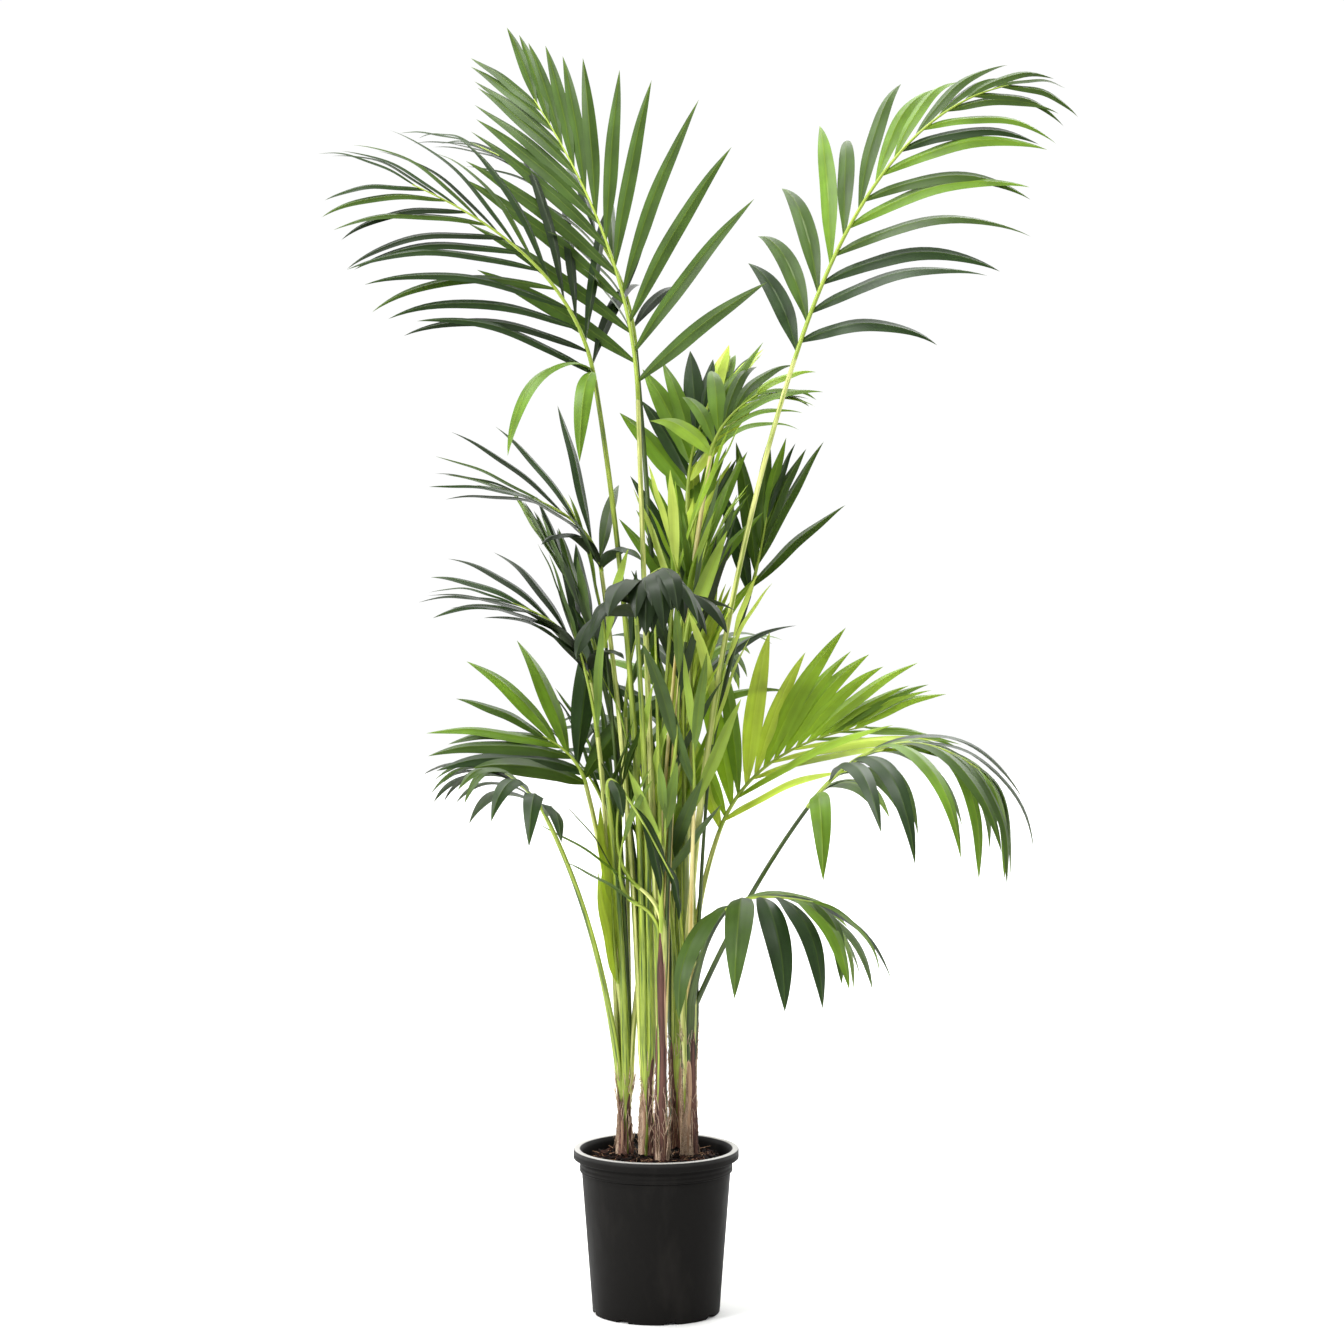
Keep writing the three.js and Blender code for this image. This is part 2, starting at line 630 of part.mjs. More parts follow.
// A frond's rib with every leaflet that finds room, as one body.
function frondSolid(name, frond, curve, rib) {
  let solid = rib;
  const siblings = [];
  const grow = (sizesFor) => {
    const made = clearLeaflet(sizesFor, name, siblings);
    if (made) solid = solid.add(made);
  };
  for (const strap of frond.straps) {
    const frame = ribFrame(frond, curve, strap.at);
    grow(({ share, lift, swing }) => {
      const way = pointing(strap.heading + swing, strap.lean - lift);
      return {
        ...strap,
        root: frame.point,
        way,
        across: new THREE.Vector3().crossVectors(way, UP).normalize(),
        length: strap.length * share,
        level: 0,
      };
    });
  }
  for (let pair = 0; pair < frond.pairs; pair++) {
    for (const hand of [1, -1]) {
      const place = (pair + (hand > 0 ? SIDE_SHIFT : 0)) / (frond.pairs - 1 + SIDE_SHIFT);
      const share = FIRST_AT + (LAST_AT - FIRST_AT) * place ** frond.crowd;
      if (hand < 0 && share < frond.leftFrom) continue;
      const frame = ribFrame(frond, curve, share);
      grow((variant) => leafletSizes(frond, frame, share, hand, pair, variant));
    }
  }
  // Pockets closed off between crossing leaflets are filled by keeping the outer body alone.
  const larger = (a, b) => (b.volume() > a.volume() ? b : a);
  const outer = solid.decompose().reduce(larger);
  const merged = SLIVERS.map((depth) => outer.asOriginal().simplify(depth));
  return merged.find(isTight) ?? outer;
}

const potSolid = pot();
const soilSolid = soil();
addNode("pot", potSolid, "pot");
addNode("soil", soilSolid, "soil");
keepClearOf(potSolid);
keepClearOf(soilSolid);

for (const [name, sizes] of Object.entries(STEMS)) {
  const solid = stem(sizes);
  addNode("stem_" + name, solid, "stem");
  keepClearOf(solid);
}

for (const [name, sizes] of Object.entries(SPEARS)) {
  const curve = petioleCurve(sizes);
  const solid = limb(curve, SPEAR_FOOT, SPEAR_HEAD, PETIOLE_SIDES, PETIOLE_LENGTHS, true);
  addNode("spear_" + name, solid, "petiole");
  keepClearOf(solid);
}

const ribs = {};
for (const [name, own] of Object.entries(FRONDS)) {
  const frond = { ...FROND, ...own };
  const petiole = petioleCurve(frond);
  const curve = ribCurve(frond, petiole);
  const stalk = limb(petiole, PETIOLE_FOOT, PETIOLE_HEAD, PETIOLE_SIDES, PETIOLE_LENGTHS, true);
  const rib = limb(curve, PETIOLE_HEAD, RIB_TIP, RIB_SIDES, RIB_LENGTHS, false);
  addNode("petiole_" + name, stalk, "petiole");
  keepClearOf(stalk);
  keepClearOf(rib, name);
  ribs[name] = { frond, curve, rib };
}

for (const [name, { frond, curve, rib }] of Object.entries(ribs)) {
  addNode("frond_" + name, frondSolid(name, frond, curve, rib), "frond");
}

export default group;
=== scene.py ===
"""A potted kentia palm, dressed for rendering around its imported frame.

The frame holds the pot, soil, stems, petioles and fronds as plain solids. This script grows the same plant
again from the same sizes and by the same rule, with finer leaflets, channelled petioles that run down into
their sheaths, torn husks, a moulded pot and loose potting mix, and it adds young leaves inside the clump.
Shapes are worked out in millimetres in the frame's axes, and become metres in the meshes: +Z is up, the front
faces -Y, headings are plan angles in degrees from +X, and leans are degrees from upright.
"""

import logging
from dataclasses import dataclass, field, replace
from enum import Enum

import bpy
import numpy as np
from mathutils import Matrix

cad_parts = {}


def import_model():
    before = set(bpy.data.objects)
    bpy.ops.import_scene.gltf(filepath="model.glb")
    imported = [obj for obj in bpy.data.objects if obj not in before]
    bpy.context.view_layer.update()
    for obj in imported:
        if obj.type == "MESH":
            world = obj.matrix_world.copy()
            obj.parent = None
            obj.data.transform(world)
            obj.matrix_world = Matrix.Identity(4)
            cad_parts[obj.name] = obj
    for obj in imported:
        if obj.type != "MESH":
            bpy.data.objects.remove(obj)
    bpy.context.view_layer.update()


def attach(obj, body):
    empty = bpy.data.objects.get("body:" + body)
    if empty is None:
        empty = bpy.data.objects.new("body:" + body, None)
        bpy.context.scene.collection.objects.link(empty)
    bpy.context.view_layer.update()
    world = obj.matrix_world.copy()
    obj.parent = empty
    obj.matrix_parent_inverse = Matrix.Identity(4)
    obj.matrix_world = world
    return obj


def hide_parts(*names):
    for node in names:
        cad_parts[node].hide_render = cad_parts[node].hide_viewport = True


log = logging.getLogger("kentia_palm")

Array = np.ndarray
Range = tuple[float, float]
Glow = tuple[float, str]  # the share of light that passes through, and its sRGB colour
Material = bpy.types.Material
Node = bpy.types.ShaderNode
Socket = bpy.types.NodeSocket
Tree = bpy.types.ShaderNodeTree

MM = 0.001  # metres in a millimetre
UP = np.array([0.0, 0.0, 1.0])
DOWN = -UP
SEED = 24
SHARP_DEG = 50  # edges between faces that turn by more than this are shaded sharp


# Directions and curves


def unit(vectors: Array) -> Array:
    """Scales every vector along the last axis to length one."""
    return vectors / np.linalg.norm(vectors, axis=-1, keepdims=True)


def pointing(heading: Array | float, lean: Array | float) -> Array:
    """Gives the unit vector of a lean from upright towards a heading.

    Args:
        heading: plan angle in degrees.
        lean: degrees from upright.

    Returns:
        (sin lean cos heading, sin lean sin heading, cos lean) along the last axis.
    """
    turn, tilt = np.radians(heading), np.radians(lean)
    parts = np.broadcast_arrays(np.sin(tilt) * np.cos(turn), np.sin(tilt) * np.sin(turn), np.cos(tilt))
    return np.stack(parts, axis=-1)


def plan(heading: Array | float) -> Array:
    """Gives the level unit vector of a heading."""
    return pointing(heading, 90.0)


def smooth(share: Array | float) -> Array:
    """Eases a share from 0 to 1, as 3s^2 - 2s^3 within those limits."""
    inside = np.clip(share, 0.0, 1.0)
    return inside * inside * (3.0 - 2.0 * inside)


@dataclass(frozen=True)
class Bend:
    """A curve that leaves its start in one direction and holds it for a share of the way to its end.

    It is the quadratic (1-t)^2 start + 2t(1-t) control + t^2 end, whose control point lies hold times the
    chord's length along way.
    """

    start: Array
    way: Array
    end: Array
    hold: float

    @property
    def control(self) -> Array:
        """The curve's middle control point."""
        return self.start + self.way * self.hold * np.linalg.norm(self.end - self.start)

    def point(self, t: Array | float) -> Array:
        """Gives the points at the parameters t."""
        t = np.asarray(t, float)[..., None]
        return (1 - t) ** 2 * self.start + 2 * t * (1 - t) * self.control + t**2 * self.end

    def direction(self, t: Array | float) -> Array:
        """Gives the unit tangents at the parameters t."""
        t = np.asarray(t, float)[..., None]
        return unit((1 - t) * (self.control - self.start) + t * (self.end - self.control))

    def parameter(self, share: Array | float) -> Array:
        """Gives the parameter that lies at a share of the curve's length, from a table of chords.

        Args:
            share: the share of the length, from 0 to 1.

        Returns:
            The parameter, in the form of the share.
        """
        t = np.linspace(0.0, 1.0, 201)
        chords = np.linalg.norm(np.diff(self.point(t), axis=0), axis=-1)
        run = np.concatenate([[0.0], np.cumsum(chords)])
        return np.interp(np.asarray(share) * run[-1], run, t)


# Meshes from whole arrays


@dataclass
class Shape:
    """A mesh under way: corners and a flat map in millimetres, faces, and each face's material number."""

    points: Array
    flat: Array
    quads: Array
    triangles: Array = field(default_factory=lambda: np.zeros((0, 3), int))
    quad_finish: Array | None = None
    triangle_finish: Array | None = None

    def __post_init__(self) -> None:
        """Gives the faces the first material where no numbers are named."""
        if self.quad_finish is None:
            self.quad_finish = np.zeros(len(self.quads), int)
        if self.triangle_finish is None:
            self.triangle_finish = np.zeros(len(self.triangles), int)

    def finished(self, number: int) -> "Shape":
        """Gives the same shape with one material number all over."""
        quads, triangles = np.full(len(self.quads), number), np.full(len(self.triangles), number)
        return replace(self, quad_finish=quads, triangle_finish=triangles)


def merged(shapes: list[Shape]) -> Shape:
    """Puts shapes into one.

    Args:
        shapes: the shapes, whose faces count through their own points.

    Returns:
        One shape, whose faces count through all the points.
    """
    starts = np.cumsum([0] + [len(s.points) for s in shapes[:-1]])
    moved = [replace(s, quads=s.quads + at, triangles=s.triangles + at) for s, at in zip(shapes, starts)]
    return Shape(*(np.concatenate([getattr(s, name) for s in moved]) for name in Shape.__dataclass_fields__))


def piece(name: str, shape: Shape, finishes: list[Material], rounded: bool = True) -> bpy.types.Object:
    """Makes a scene object from a shape.

    Args:
        name: the object's name.
        shape: its mesh, in millimetres.
        finishes: the materials that the shape's finish numbers count through.
        rounded: whether it is shaded smooth but for its sharp edges, or flat face by face.

    Returns:
        The new object, at the origin.
    """
    mesh = bpy.data.meshes.new(name)
    faces = shape.quads.tolist() + shape.triangles.tolist()
    mesh.from_pydata((shape.points * MM).tolist(), [], faces)
    numbers = np.concatenate([shape.quad_finish, shape.triangle_finish])
    mesh.polygons.foreach_set("material_index", numbers.astype(np.int32))
    mesh.polygons.foreach_set("use_smooth", np.full(len(faces), rounded))
    corners = np.empty(len(mesh.loops), np.int32)
    mesh.loops.foreach_get("vertex_index", corners)
    mesh.uv_layers.new(name="flat").data.foreach_set("uv", (shape.flat[corners] * MM).ravel())
    for finish in finishes:
        mesh.materials.append(finish)
    mesh.validate()
    if rounded:
        mesh.set_sharp_from_angle(angle=np.radians(SHARP_DEG))
    made = bpy.data.objects.new(name, mesh)
    bpy.context.scene.collection.objects.link(made)
    log.info("%s: %d faces", name, len(faces))
    return made


def lattice(rows: int, columns: int, closed: bool) -> Array:
    """Gives the quads of a grid of points counted row by row.

    Args:
        rows: its rows.
        columns: its points a row.
        closed: whether each row's last point joins its first.

    Returns:
        Point numbers, quads by 4.
    """
    row = np.arange(rows - 1)[:, None] * columns
    column = np.arange(columns if closed else columns - 1)[None, :]
    after = (column + 1) % columns
    corners = (row + column, row + after, row + columns + after, row + columns + column)
    return np.stack(np.broadcast_arrays(*corners), axis=-1).reshape(-1, 4)


def fan(ring: Array, flip: bool) -> Array:
    """Gives the triangles that close a ring of point numbers."""
    corners = np.stack([np.full(len(ring) - 2, ring[0]), ring[1:-1], ring[2:]], axis=-1)
    return corners[:, ::-1] if flip else corners


def sweep(centres: Array, across: Array, along: Array, ring: Array) -> Shape:
    """Carries a closed section along a path and closes both ends.

    The point at row i and column k is centre i + across i * ring[i, k, 0] + along i * ring[i, k, 1]. The
    sections run anticlockwise seen from the path's end when across x along points along the path.

    Args:
        centres: path points, rows by 3.
        across: unit vectors, rows by 3.
        along: unit vectors square to them, rows by 3.
        ring: section offsets, rows by columns by 2.

    Returns:
        The closed tube, its flat map running round it and along it.
    """
    rows, columns = ring.shape[:2]
    points = centres[:, None] + across[:, None] * ring[..., :1] + along[:, None] * ring[..., 1:]
    steps = np.linalg.norm(np.diff(centres, axis=0), axis=-1)
    run = np.concatenate([[0.0], np.cumsum(steps)])
    girth = np.linalg.norm(ring - np.roll(ring, 1, axis=1), axis=-1).sum(axis=1)
    turn = np.abs(np.linspace(-1, 1, columns, endpoint=False))
    flat = np.stack(np.broadcast_arrays(turn * girth[:, None] / 2, run[:, None]), -1)
    first = np.arange(columns)
    ends = np.concatenate([fan(first, True), fan(first + (rows - 1) * columns, False)])
    return Shape(points.reshape(-1, 3), flat.reshape(-1, 2), lattice(rows, columns, True), ends)


def square_frame(ways: Array, heading: float = 90.0) -> tuple[Array, Array]:
    """Gives two unit vectors square to each direction, the first as near to a heading as it can be.

    Args:
        ways: unit directions, rows by 3.
        heading: plan angle in degrees.

    Returns:
        Both vectors, rows by 3 each.
    """
    ray = plan(heading)
    outward = unit(ray - ways * (ways @ ray)[:, None])
    return outward, np.cross(ways, outward)


def round_section(radii: Array, columns: int) -> Array:
    """Gives circles of the given radii, rows by columns by 2."""
    angle = np.linspace(0.0, 2 * np.pi, columns, endpoint=False)
    return radii[:, None, None] * np.stack([np.cos(angle), np.sin(angle)], -1)


def shell(outer: Array, inner: Array) -> Shape:
    """Joins two grids of points into one closed thin wall.

    Args:
        outer: the outer face, rows by columns by 3.
        inner: the inner face, the same.

    Returns:
        The closed wall, its flat map running across it and up it.
    """
    rows, columns = outer.shape[:2]
    count = rows * columns
    skin = lattice(rows, columns, False)
    edges = [
        np.arange(columns),
        np.arange(rows) * columns + columns - 1,
        (np.arange(columns) + (rows - 1) * columns)[::-1],
        (np.arange(rows) * columns)[::-1],
    ]
    rim = [np.stack([e[1:], e[:-1], e[:-1] + count, e[1:] + count], -1) for e in edges]
    quads = np.concatenate([skin, skin[:, ::-1] + count, *rim])
    width = np.linalg.norm(np.diff(outer, axis=1), axis=-1).cumsum(axis=1)
    height = np.linalg.norm(np.diff(outer, axis=0), axis=-1).cumsum(axis=0)
    flat = np.stack([np.pad(width, ((0, 0), (1, 0))), np.pad(height, ((1, 0), (0, 0)))], -1).reshape(-1, 2)
    return Shape(np.concatenate([outer.reshape(-1, 3), inner.reshape(-1, 3)]), np.tile(flat, (2, 1)), quads)


def revolved(profile: Array, columns: int, lift: Array | None = None) -> Shape:
    """Turns a profile about the Z axis into a closed body.

    Args:
        profile: radius and height pairs, of which the first and the last lie on the axis.
        columns: steps round the axis.
        lift: heights added to each point, rows by columns, without the two ends.

    Returns:
        The closed body, its flat map running round it and along the profile.
    """
    angle = np.linspace(0.0, 2 * np.pi, columns, endpoint=False)
    rim = profile[1:-1]
    rows = len(rim)
    z = np.broadcast_to(rim[:, 1:], (rows, columns)) + (0.0 if lift is None else lift)
    points = np.stack([rim[:, :1] * np.cos(angle), rim[:, :1] * np.sin(angle), z], -1).reshape(-1, 3)
    poles = np.array([[0.0, 0.0, profile[0, 1]], [0.0, 0.0, profile[-1, 1]]])
    ring = np.arange(columns)
    after = (ring + 1) % columns
    last = (rows - 1) * columns
    caps = np.concatenate(
        [
            np.stack([after, ring, np.full(columns, rows * columns)], -1),
            np.stack([ring + last, after + last, np.full(columns, rows * columns + 1)], -1),
        ]
    )
    run = np.concatenate([[0.0], np.cumsum(np.linalg.norm(np.diff(rim, axis=0), axis=-1))])
    flat = np.stack(np.broadcast_arrays(np.abs(angle - np.pi)[None] * rim[:, :1], run[:, None]), -1)
    flat = np.concatenate([flat.reshape(-1, 2), [[0.0, 0.0], [0.0, run[-1]]]])
    return Shape(np.concatenate([points, poles]), flat, lattice(rows, columns, True), caps)


# Finishes


def linear(colour: str) -> tuple[float, float, float, float]:
    """Turns an sRGB colour into the linear values that shaders take.

    Args:
        colour: a hex colour, such as #808080.

    Returns:
        Linear red, green, blue and alpha.
    """
    parts = np.array([int(colour[i : i + 2], 16) for i in (1, 3, 5)]) / 255
    low, high = parts / 12.92, ((parts + 0.055) / 1.055) ** 2.4
    return (*np.where(parts <= 0.04045, low, high).tolist(), 1.0)


def add_node(tree: Tree, kind: str, settings: dict | None = None, links: dict | None = None) -> Node:
    """Adds a shader node.

    Args:
        tree: the material's node tree.
        kind: the node's type, without its ShaderNode prefix.
        settings: socket values by input name or number, and node properties by attribute name.
        links: output sockets by the input name or number that they feed.

    Returns:
        The new node.
    """
    node = tree.nodes.new("ShaderNode" + kind)
    for key, value in (settings or {}).items():
        if isinstance(key, str) and hasattr(node, key):
            setattr(node, key, value)
        else:
            node.inputs[key].default_value = value
    for key, socket in (links or {}).items():
        tree.links.new(socket, node.inputs[key])
    return node


def new_material(name: str) -> tuple[Material, Tree]:
    """Makes an empty node material.

    Args:
        name: the material's name.

    Returns:
        The material and its node tree.
    """
    material = bpy.data.materials.new(name)
    material.use_nodes = True
    material.node_tree.nodes.clear()
    return material, material.node_tree


def coordinates(tree: Tree, kind: str, stretch: tuple[float, float, float] | None = None) -> Socket:
    """Adds the coordinates that a pattern is drawn on.

    Args:
        tree: the material's node tree.
        kind: Object for the place on the plant, UV for a piece's flat map, or Generated for a direction.
        stretch: factors on them, of which a small one draws the pattern out that way.

    Returns:
        Their socket.
    """
    place = add_node(tree, "TexCoord").outputs[kind]
    if stretch is None:
        return place
    return add_node(tree, "Mapping", {"Scale": stretch}, {"Vector": place}).outputs[0]


def noise(tree: Tree, place: Socket, size_mm: float, detail: float, roughness: float = 0.5) -> Socket:
    """Adds a noise pattern whose unit is that many millimetres, and gives its value."""
    settings = {"Scale": 1.0 / (size_mm * MM), "Detail": detail, "Roughness": roughness}
    return add_node(tree, "TexNoise", settings, {"Vector": place}).outputs[0]


def ramp(tree: Tree, value: Socket, start: float, end: float, low: float = 0.0, high: float = 1.0) -> Socket:
    """Turns values from start to end into values from low to high, held at both ends."""
    limits = {"From Min": start, "From Max": end, "To Min": low, "To Max": high}
    return add_node(tree, "MapRange", limits, {"Value": value}).outputs[0]


def relief(tree: Tree, height: Socket, depth_mm: float, strength: float) -> Socket:
    """Adds relief of a depth in millimetres and gives the normals."""
    settings = {"Strength": strength, "Distance": depth_mm * MM}
    return add_node(tree, "Bump", settings, {"Height": height}).outputs[0]


def two_tone(tree: Tree, factor: Socket, low: str, high: str) -> Socket:
    """Mixes two sRGB colours by a factor and gives the colour."""
    mix = add_node(tree, "Mix", {"data_type": "RGBA", 6: linear(low), 7: linear(high)}, {0: factor})
    return mix.outputs[2]


def surface(tree: Tree, settings: dict, links: dict | None = None, glow: Glow = (0.0, "")) -> None:
    """Adds a material's surface and output.

    Args:
        tree: the material's node tree.
        settings: the surface's values by input name.
        links: the sockets that feed it by input name.
        glow: the share of light that passes through to the far side, and its sRGB colour.
    """
    shader = add_node(tree, "BsdfPrincipled", settings, links).outputs[0]
    share, through = glow
    if share > 0:
        passed = add_node(tree, "BsdfTranslucent", {"Color": linear(through)}).outputs[0]
        shader = add_node(tree, "MixShader", {0: share}, {1: shader, 2: passed}).outputs[0]
    add_node(tree, "OutputMaterial", links={"Surface": shader})


@dataclass(frozen=True)
class PotPlastic:
    """Black moulded polypropylene: matt, with faint grain and scuffs, a polished lip, and a painted highlight
    along the lip's top.
    """

    base: str = "#141312"
    scuff: str = "#262422"
    painted_highlight: str = "#e6e4e0"  # the colour of the painted highlight along the top of the lip
    roughness: float = 0.5
    sheen: float = 0.05
    lip_sheen: float = 0.25
    lip_mm: float = 233.0  # height above which handling has polished the rim
    polish_mm: float = 4.0  # over which the sheen rises
    painted_highlight_mm: Range = (239.2, 239.9)  # the heights over which the painted highlight comes in along the lip
    # how strongly the painted highlight covers the plastic's colour
    painted_highlight_share: float = 0.6
    worn_share: float = 0.55  # how far the scuffs take on their own colour
    grain_mm: float = 1.2  # coarser than the real grain, which is too fine to show
    scuff_mm: float = 34.0

    def material(self) -> Material:
        """Builds the node material.

        Returns:
            The material, whose sheen and painted highlight along the lip follow the height on the pot.
        """
        material, tree = new_material("black_polypropylene")
        place = coordinates(tree, "Object")
        scuffs = noise(tree, coordinates(tree, "Object", (1.0, 1.0, 0.3)), self.scuff_mm, 6.0, 0.62)
        worn = ramp(tree, scuffs, 0.5, 0.78, 0.0, self.worn_share)
        rough = ramp(tree, scuffs, 0.3, 0.75, self.roughness - 0.06, self.roughness + 0.16)
        height = add_node(tree, "SeparateXYZ", links={0: place}).outputs["Z"]
        polished = (self.lip_mm * MM, (self.lip_mm + self.polish_mm) * MM)
        sheen = ramp(tree, height, *polished, self.sheen, self.lip_sheen)
        # a painted highlight: a pale line mixed into the colour along the top of the lip
        edge = ramp(tree, height, self.painted_highlight_mm[0] * MM, self.painted_highlight_mm[1] * MM, 0.0, self.painted_highlight_share)
        plain = two_tone(tree, worn, self.base, self.scuff)
        colour = add_node(tree, "Mix", {"data_type": "RGBA", 7: linear(self.painted_highlight)}, {0: edge, 6: plain})
        links = {
            "Base Color": colour.outputs[2],
            "Roughness": rough,
            "Specular IOR Level": sheen,
            "Normal": relief(tree, noise(tree, place, self.grain_mm, 3.0), 0.4, 0.12),
        }
        surface(tree, {"IOR": 1.49}, links)
        return material


@dataclass(frozen=True)
class Grit:
    """Potting mix and its bark: matt moist crumbs, mottled between a dark and a pale shade."""

    name: str
    dark: str
    pale: str
    crumb_mm: float
    relief_mm: float
    roughness: float = 0.88
    sheen: float = 0.12  # moist grit hardly shines

    def material(self) -> Material:
        """Builds the node material.

        Returns:
            The material, whose crumbs show as relief and as mottling.
        """
        material, tree = new_material(self.name)
        crumbs = noise(tree, coordinates(tree, "Object"), self.crumb_mm, 8.0, 0.7)
        colour = two_tone(tree, ramp(tree, crumbs, 0.38, 0.68), self.dark, self.pale)
        links = {"Base Color": colour, "Normal": relief(tree, crumbs, self.relief_mm, 0.8)}
        surface(tree, {"Roughness": self.roughness, "Specular IOR Level": self.sheen}, links)
        return material


@dataclass(frozen=True)
class Rind:
    """Living petiole and rib, or dry leaf sheath: long fibres under a smooth or a flaking skin."""

    name: str
    dark: str
    pale: str
    roughness: float
    fibre_mm: float
    relief_mm: float
    glow: float = 0.0  # share of light that passes through
    draw: float = 0.04  # how much slower the fibres change along the piece than across it

    def material(self) -> Material:
        """Builds the node material.

        Returns:
            The material, its fibres drawn out along the piece's flat map.
        """
        material, tree = new_material(self.name)
        fibres = noise(tree, coordinates(tree, "UV", (1.0, self.draw, 1.0)), self.fibre_mm, 5.0, 0.6)
        colour = two_tone(tree, ramp(tree, fibres, 0.36, 0.66), self.dark, self.pale)
        links = {"Base Color": colour, "Normal": relief(tree, fibres, self.relief_mm, 0.6)}
        surface(tree, {"Roughness": self.roughness, "IOR": 1.45}, links, (self.glow, self.pale))
        return material


class Skin(Enum):
    """The skins of petioles and sheaths, each the colours of its furrows and of its raised fibres; the lime
    and green pale colours are partly painted highlight and glow.
    """

    # its near-white pale colour is partly the fibres' own and partly painted highlight and glow along the
    # petioles
    LIME = ("#748a24", "#f6f6a0")
    GREEN = ("#34501a", "#b4c64c")
    DEEP = ("#18280f", "#566c2c")
    CREAM = ("#b29a48", "#f0e8aa")
    TAN = ("#6e4a36", "#d8b694")
    BROWN = ("#24140f", "#6e473c")


SKINS = list(Skin)


def skin_materials() -> list[Material]:
    """Builds the materials of every skin: the living ones are smooth and let a little light through.

    Returns:
        The materials, in the order of the skins.
    """
    made = []
    for skin in SKINS:
        living = skin in (Skin.LIME, Skin.GREEN, Skin.DEEP)
        name = f"{skin.name.lower()}_{'rind' if living else 'dead_sheath'}"
        roughness, relief_mm, glow = (0.4, 0.3, 0.1) if living else (0.75, 0.7, 0.0)
        made.append(Rind(name, *skin.value, roughness, 4.5, relief_mm, glow).material())
    return made


class Green(Enum):
    """The greens of the leaflets, the colours of upper face, underside and passing light; the lighter ones
    hold painted glow.
    """

    DEEP = ("#223019", "#37402b", "#4b6420")
    DARK = ("#283c1c", "#3d4b32", "#668422")
    MID = ("#3c541c", "#506636", "#869f26")
    FRESH = ("#608124", "#708a3e", "#a6be2c")
    # BRIGHT and LIME are partly the young leaves' own fresh colour and partly painted glow of light shining
    # through
    BRIGHT = ("#8bab30", "#96ad4a", "#bfd836")
    LIME = ("#b4c94a", "#bccb64", "#dfec66")


GREENS = list(Green)


@dataclass(frozen=True)
class LeafBlade:
    """Living leaf blade: a satin, waxy skin over close lengthwise veins, which lets light through."""

    name: str
    colour: str
    through: str
    roughness: float
    glow: float  # share of light that passes through
    sheen: float = 0.3
    midrib_mm: Range = (0.3, 1.3)  # the distances from the middle over which the pale midrib fades
    midrib_share: float = 0.2
    vein_mm: float = 7.0  # wider apart than the real veins, which are too close to show
    draw: float = 0.02  # how much slower the veins change along the blade than across it
    vein_tones: Range = (0.84, 1.2)
    patch_mm: float = 55.0
    patch_tones: Range = (0.74, 1.26)

    def material(self) -> Material:
        """Builds the node material.

        Returns:
            The material, its veins drawn out along the blade's flat map and its tone drifting in patches.
        """
        material, tree = new_material(self.name)
        veins = noise(tree, coordinates(tree, "UV", (1.0, self.draw, 1.0)), self.vein_mm, 2.0)
        patches = noise(tree, coordinates(tree, "Object"), self.patch_mm, 3.0)
        patch = ramp(tree, patches, 0.3, 0.7, *self.patch_tones)
        streak = ramp(tree, veins, 0.3, 0.7, *self.vein_tones)
        tint = add_node(tree, "Math", {"operation": "MULTIPLY"}, {0: patch, 1: streak}).outputs[0]
        skin = add_node(tree, "HueSaturation", {"Color": linear(self.colour)}, {"Value": tint}).outputs[0]
        across = add_node(tree, "SeparateXYZ", links={0: coordinates(tree, "UV")}).outputs["X"]
        aside = add_node(tree, "Math", {"operation": "ABSOLUTE"}, {0: across}).outputs[0]
        midrib = ramp(tree, aside, self.midrib_mm[0] * MM, self.midrib_mm[1] * MM, self.midrib_share, 0.0)
        colour = add_node(tree, "Mix", {"data_type": "RGBA", 7: linear(self.through)}, {0: midrib, 6: skin})
        links = {"Base Color": colour.outputs[2], "Normal": relief(tree, veins, 0.5, 0.25)}
        settings = {"Roughness": self.roughness, "IOR": 1.45, "Specular IOR Level": self.sheen}
        surface(tree, settings, links, (self.glow, self.through))
        return material


def leaf_materials() -> list[Material]:
    """Builds the materials of every green, whose undersides are duller and let more light through.

    Returns:
        The materials in the order of the greens, each green's upper face before its underside.
    """
    made = []
    for green in GREENS:
        upper, under, through = green.value
        name = green.name.lower()
        made.append(LeafBlade(f"{name}_leaf_upper", upper, through, 0.44, 0.26).material())
        made.append(LeafBlade(f"{name}_leaf_under", under, through, 0.5, 0.34).material())
    return made


# The plan of the plant, in the same words and sizes as its construction


GAP = 0.3  # between a limb and what carries it
MOUND_TOP = 230.0
STALK_DEPTH = 8.0  # that stalks reach into the soil
PETIOLE_FOOT = 4.6
PETIOLE_HEAD = 3.2
PETIOLE_BEND = 0.55
BUNDLE_WAIST = 0.42  # the share by which a stem's ring of sheaths draws in at half its height
BUNDLE_FOOT = 0.2  # and at its foot
SHEATH_DEPTH = 4.2  # half a sheath's thickness at its foot
SHEATH_HALF = 4.7  # and half its width
SHEATH_SWAY = 1.6  # that a sheath strays sideways on its way up
SHEATH_BEAT = 5.0  # radians of its sway along it
LEAF_STEPS = 12  # along a leaflet where it is tested against the petioles
ROOT_STEPS = 2  # of them that lie at its root and aren't tested
ROOT_SHARE = 0.15
WIDEST_AT = 0.3
FULLEST_AT = 0.4  # where a finished leaflet is widest
TAPER = 2.2
LEVEL_BY = 0.3  # the share of a leaflet over which its blade turns level
LENGTH_FALL = 1.2
TIP_WIDTH = 0.62
SWING_BEATS = (2.4, 1.9)  # radians a beat and a hand, in the sines by which leaflets stray
LIFT_BEATS = (3.7, -2.3)
SWAY = 3.0
LENGTH_SWAY = 0.05
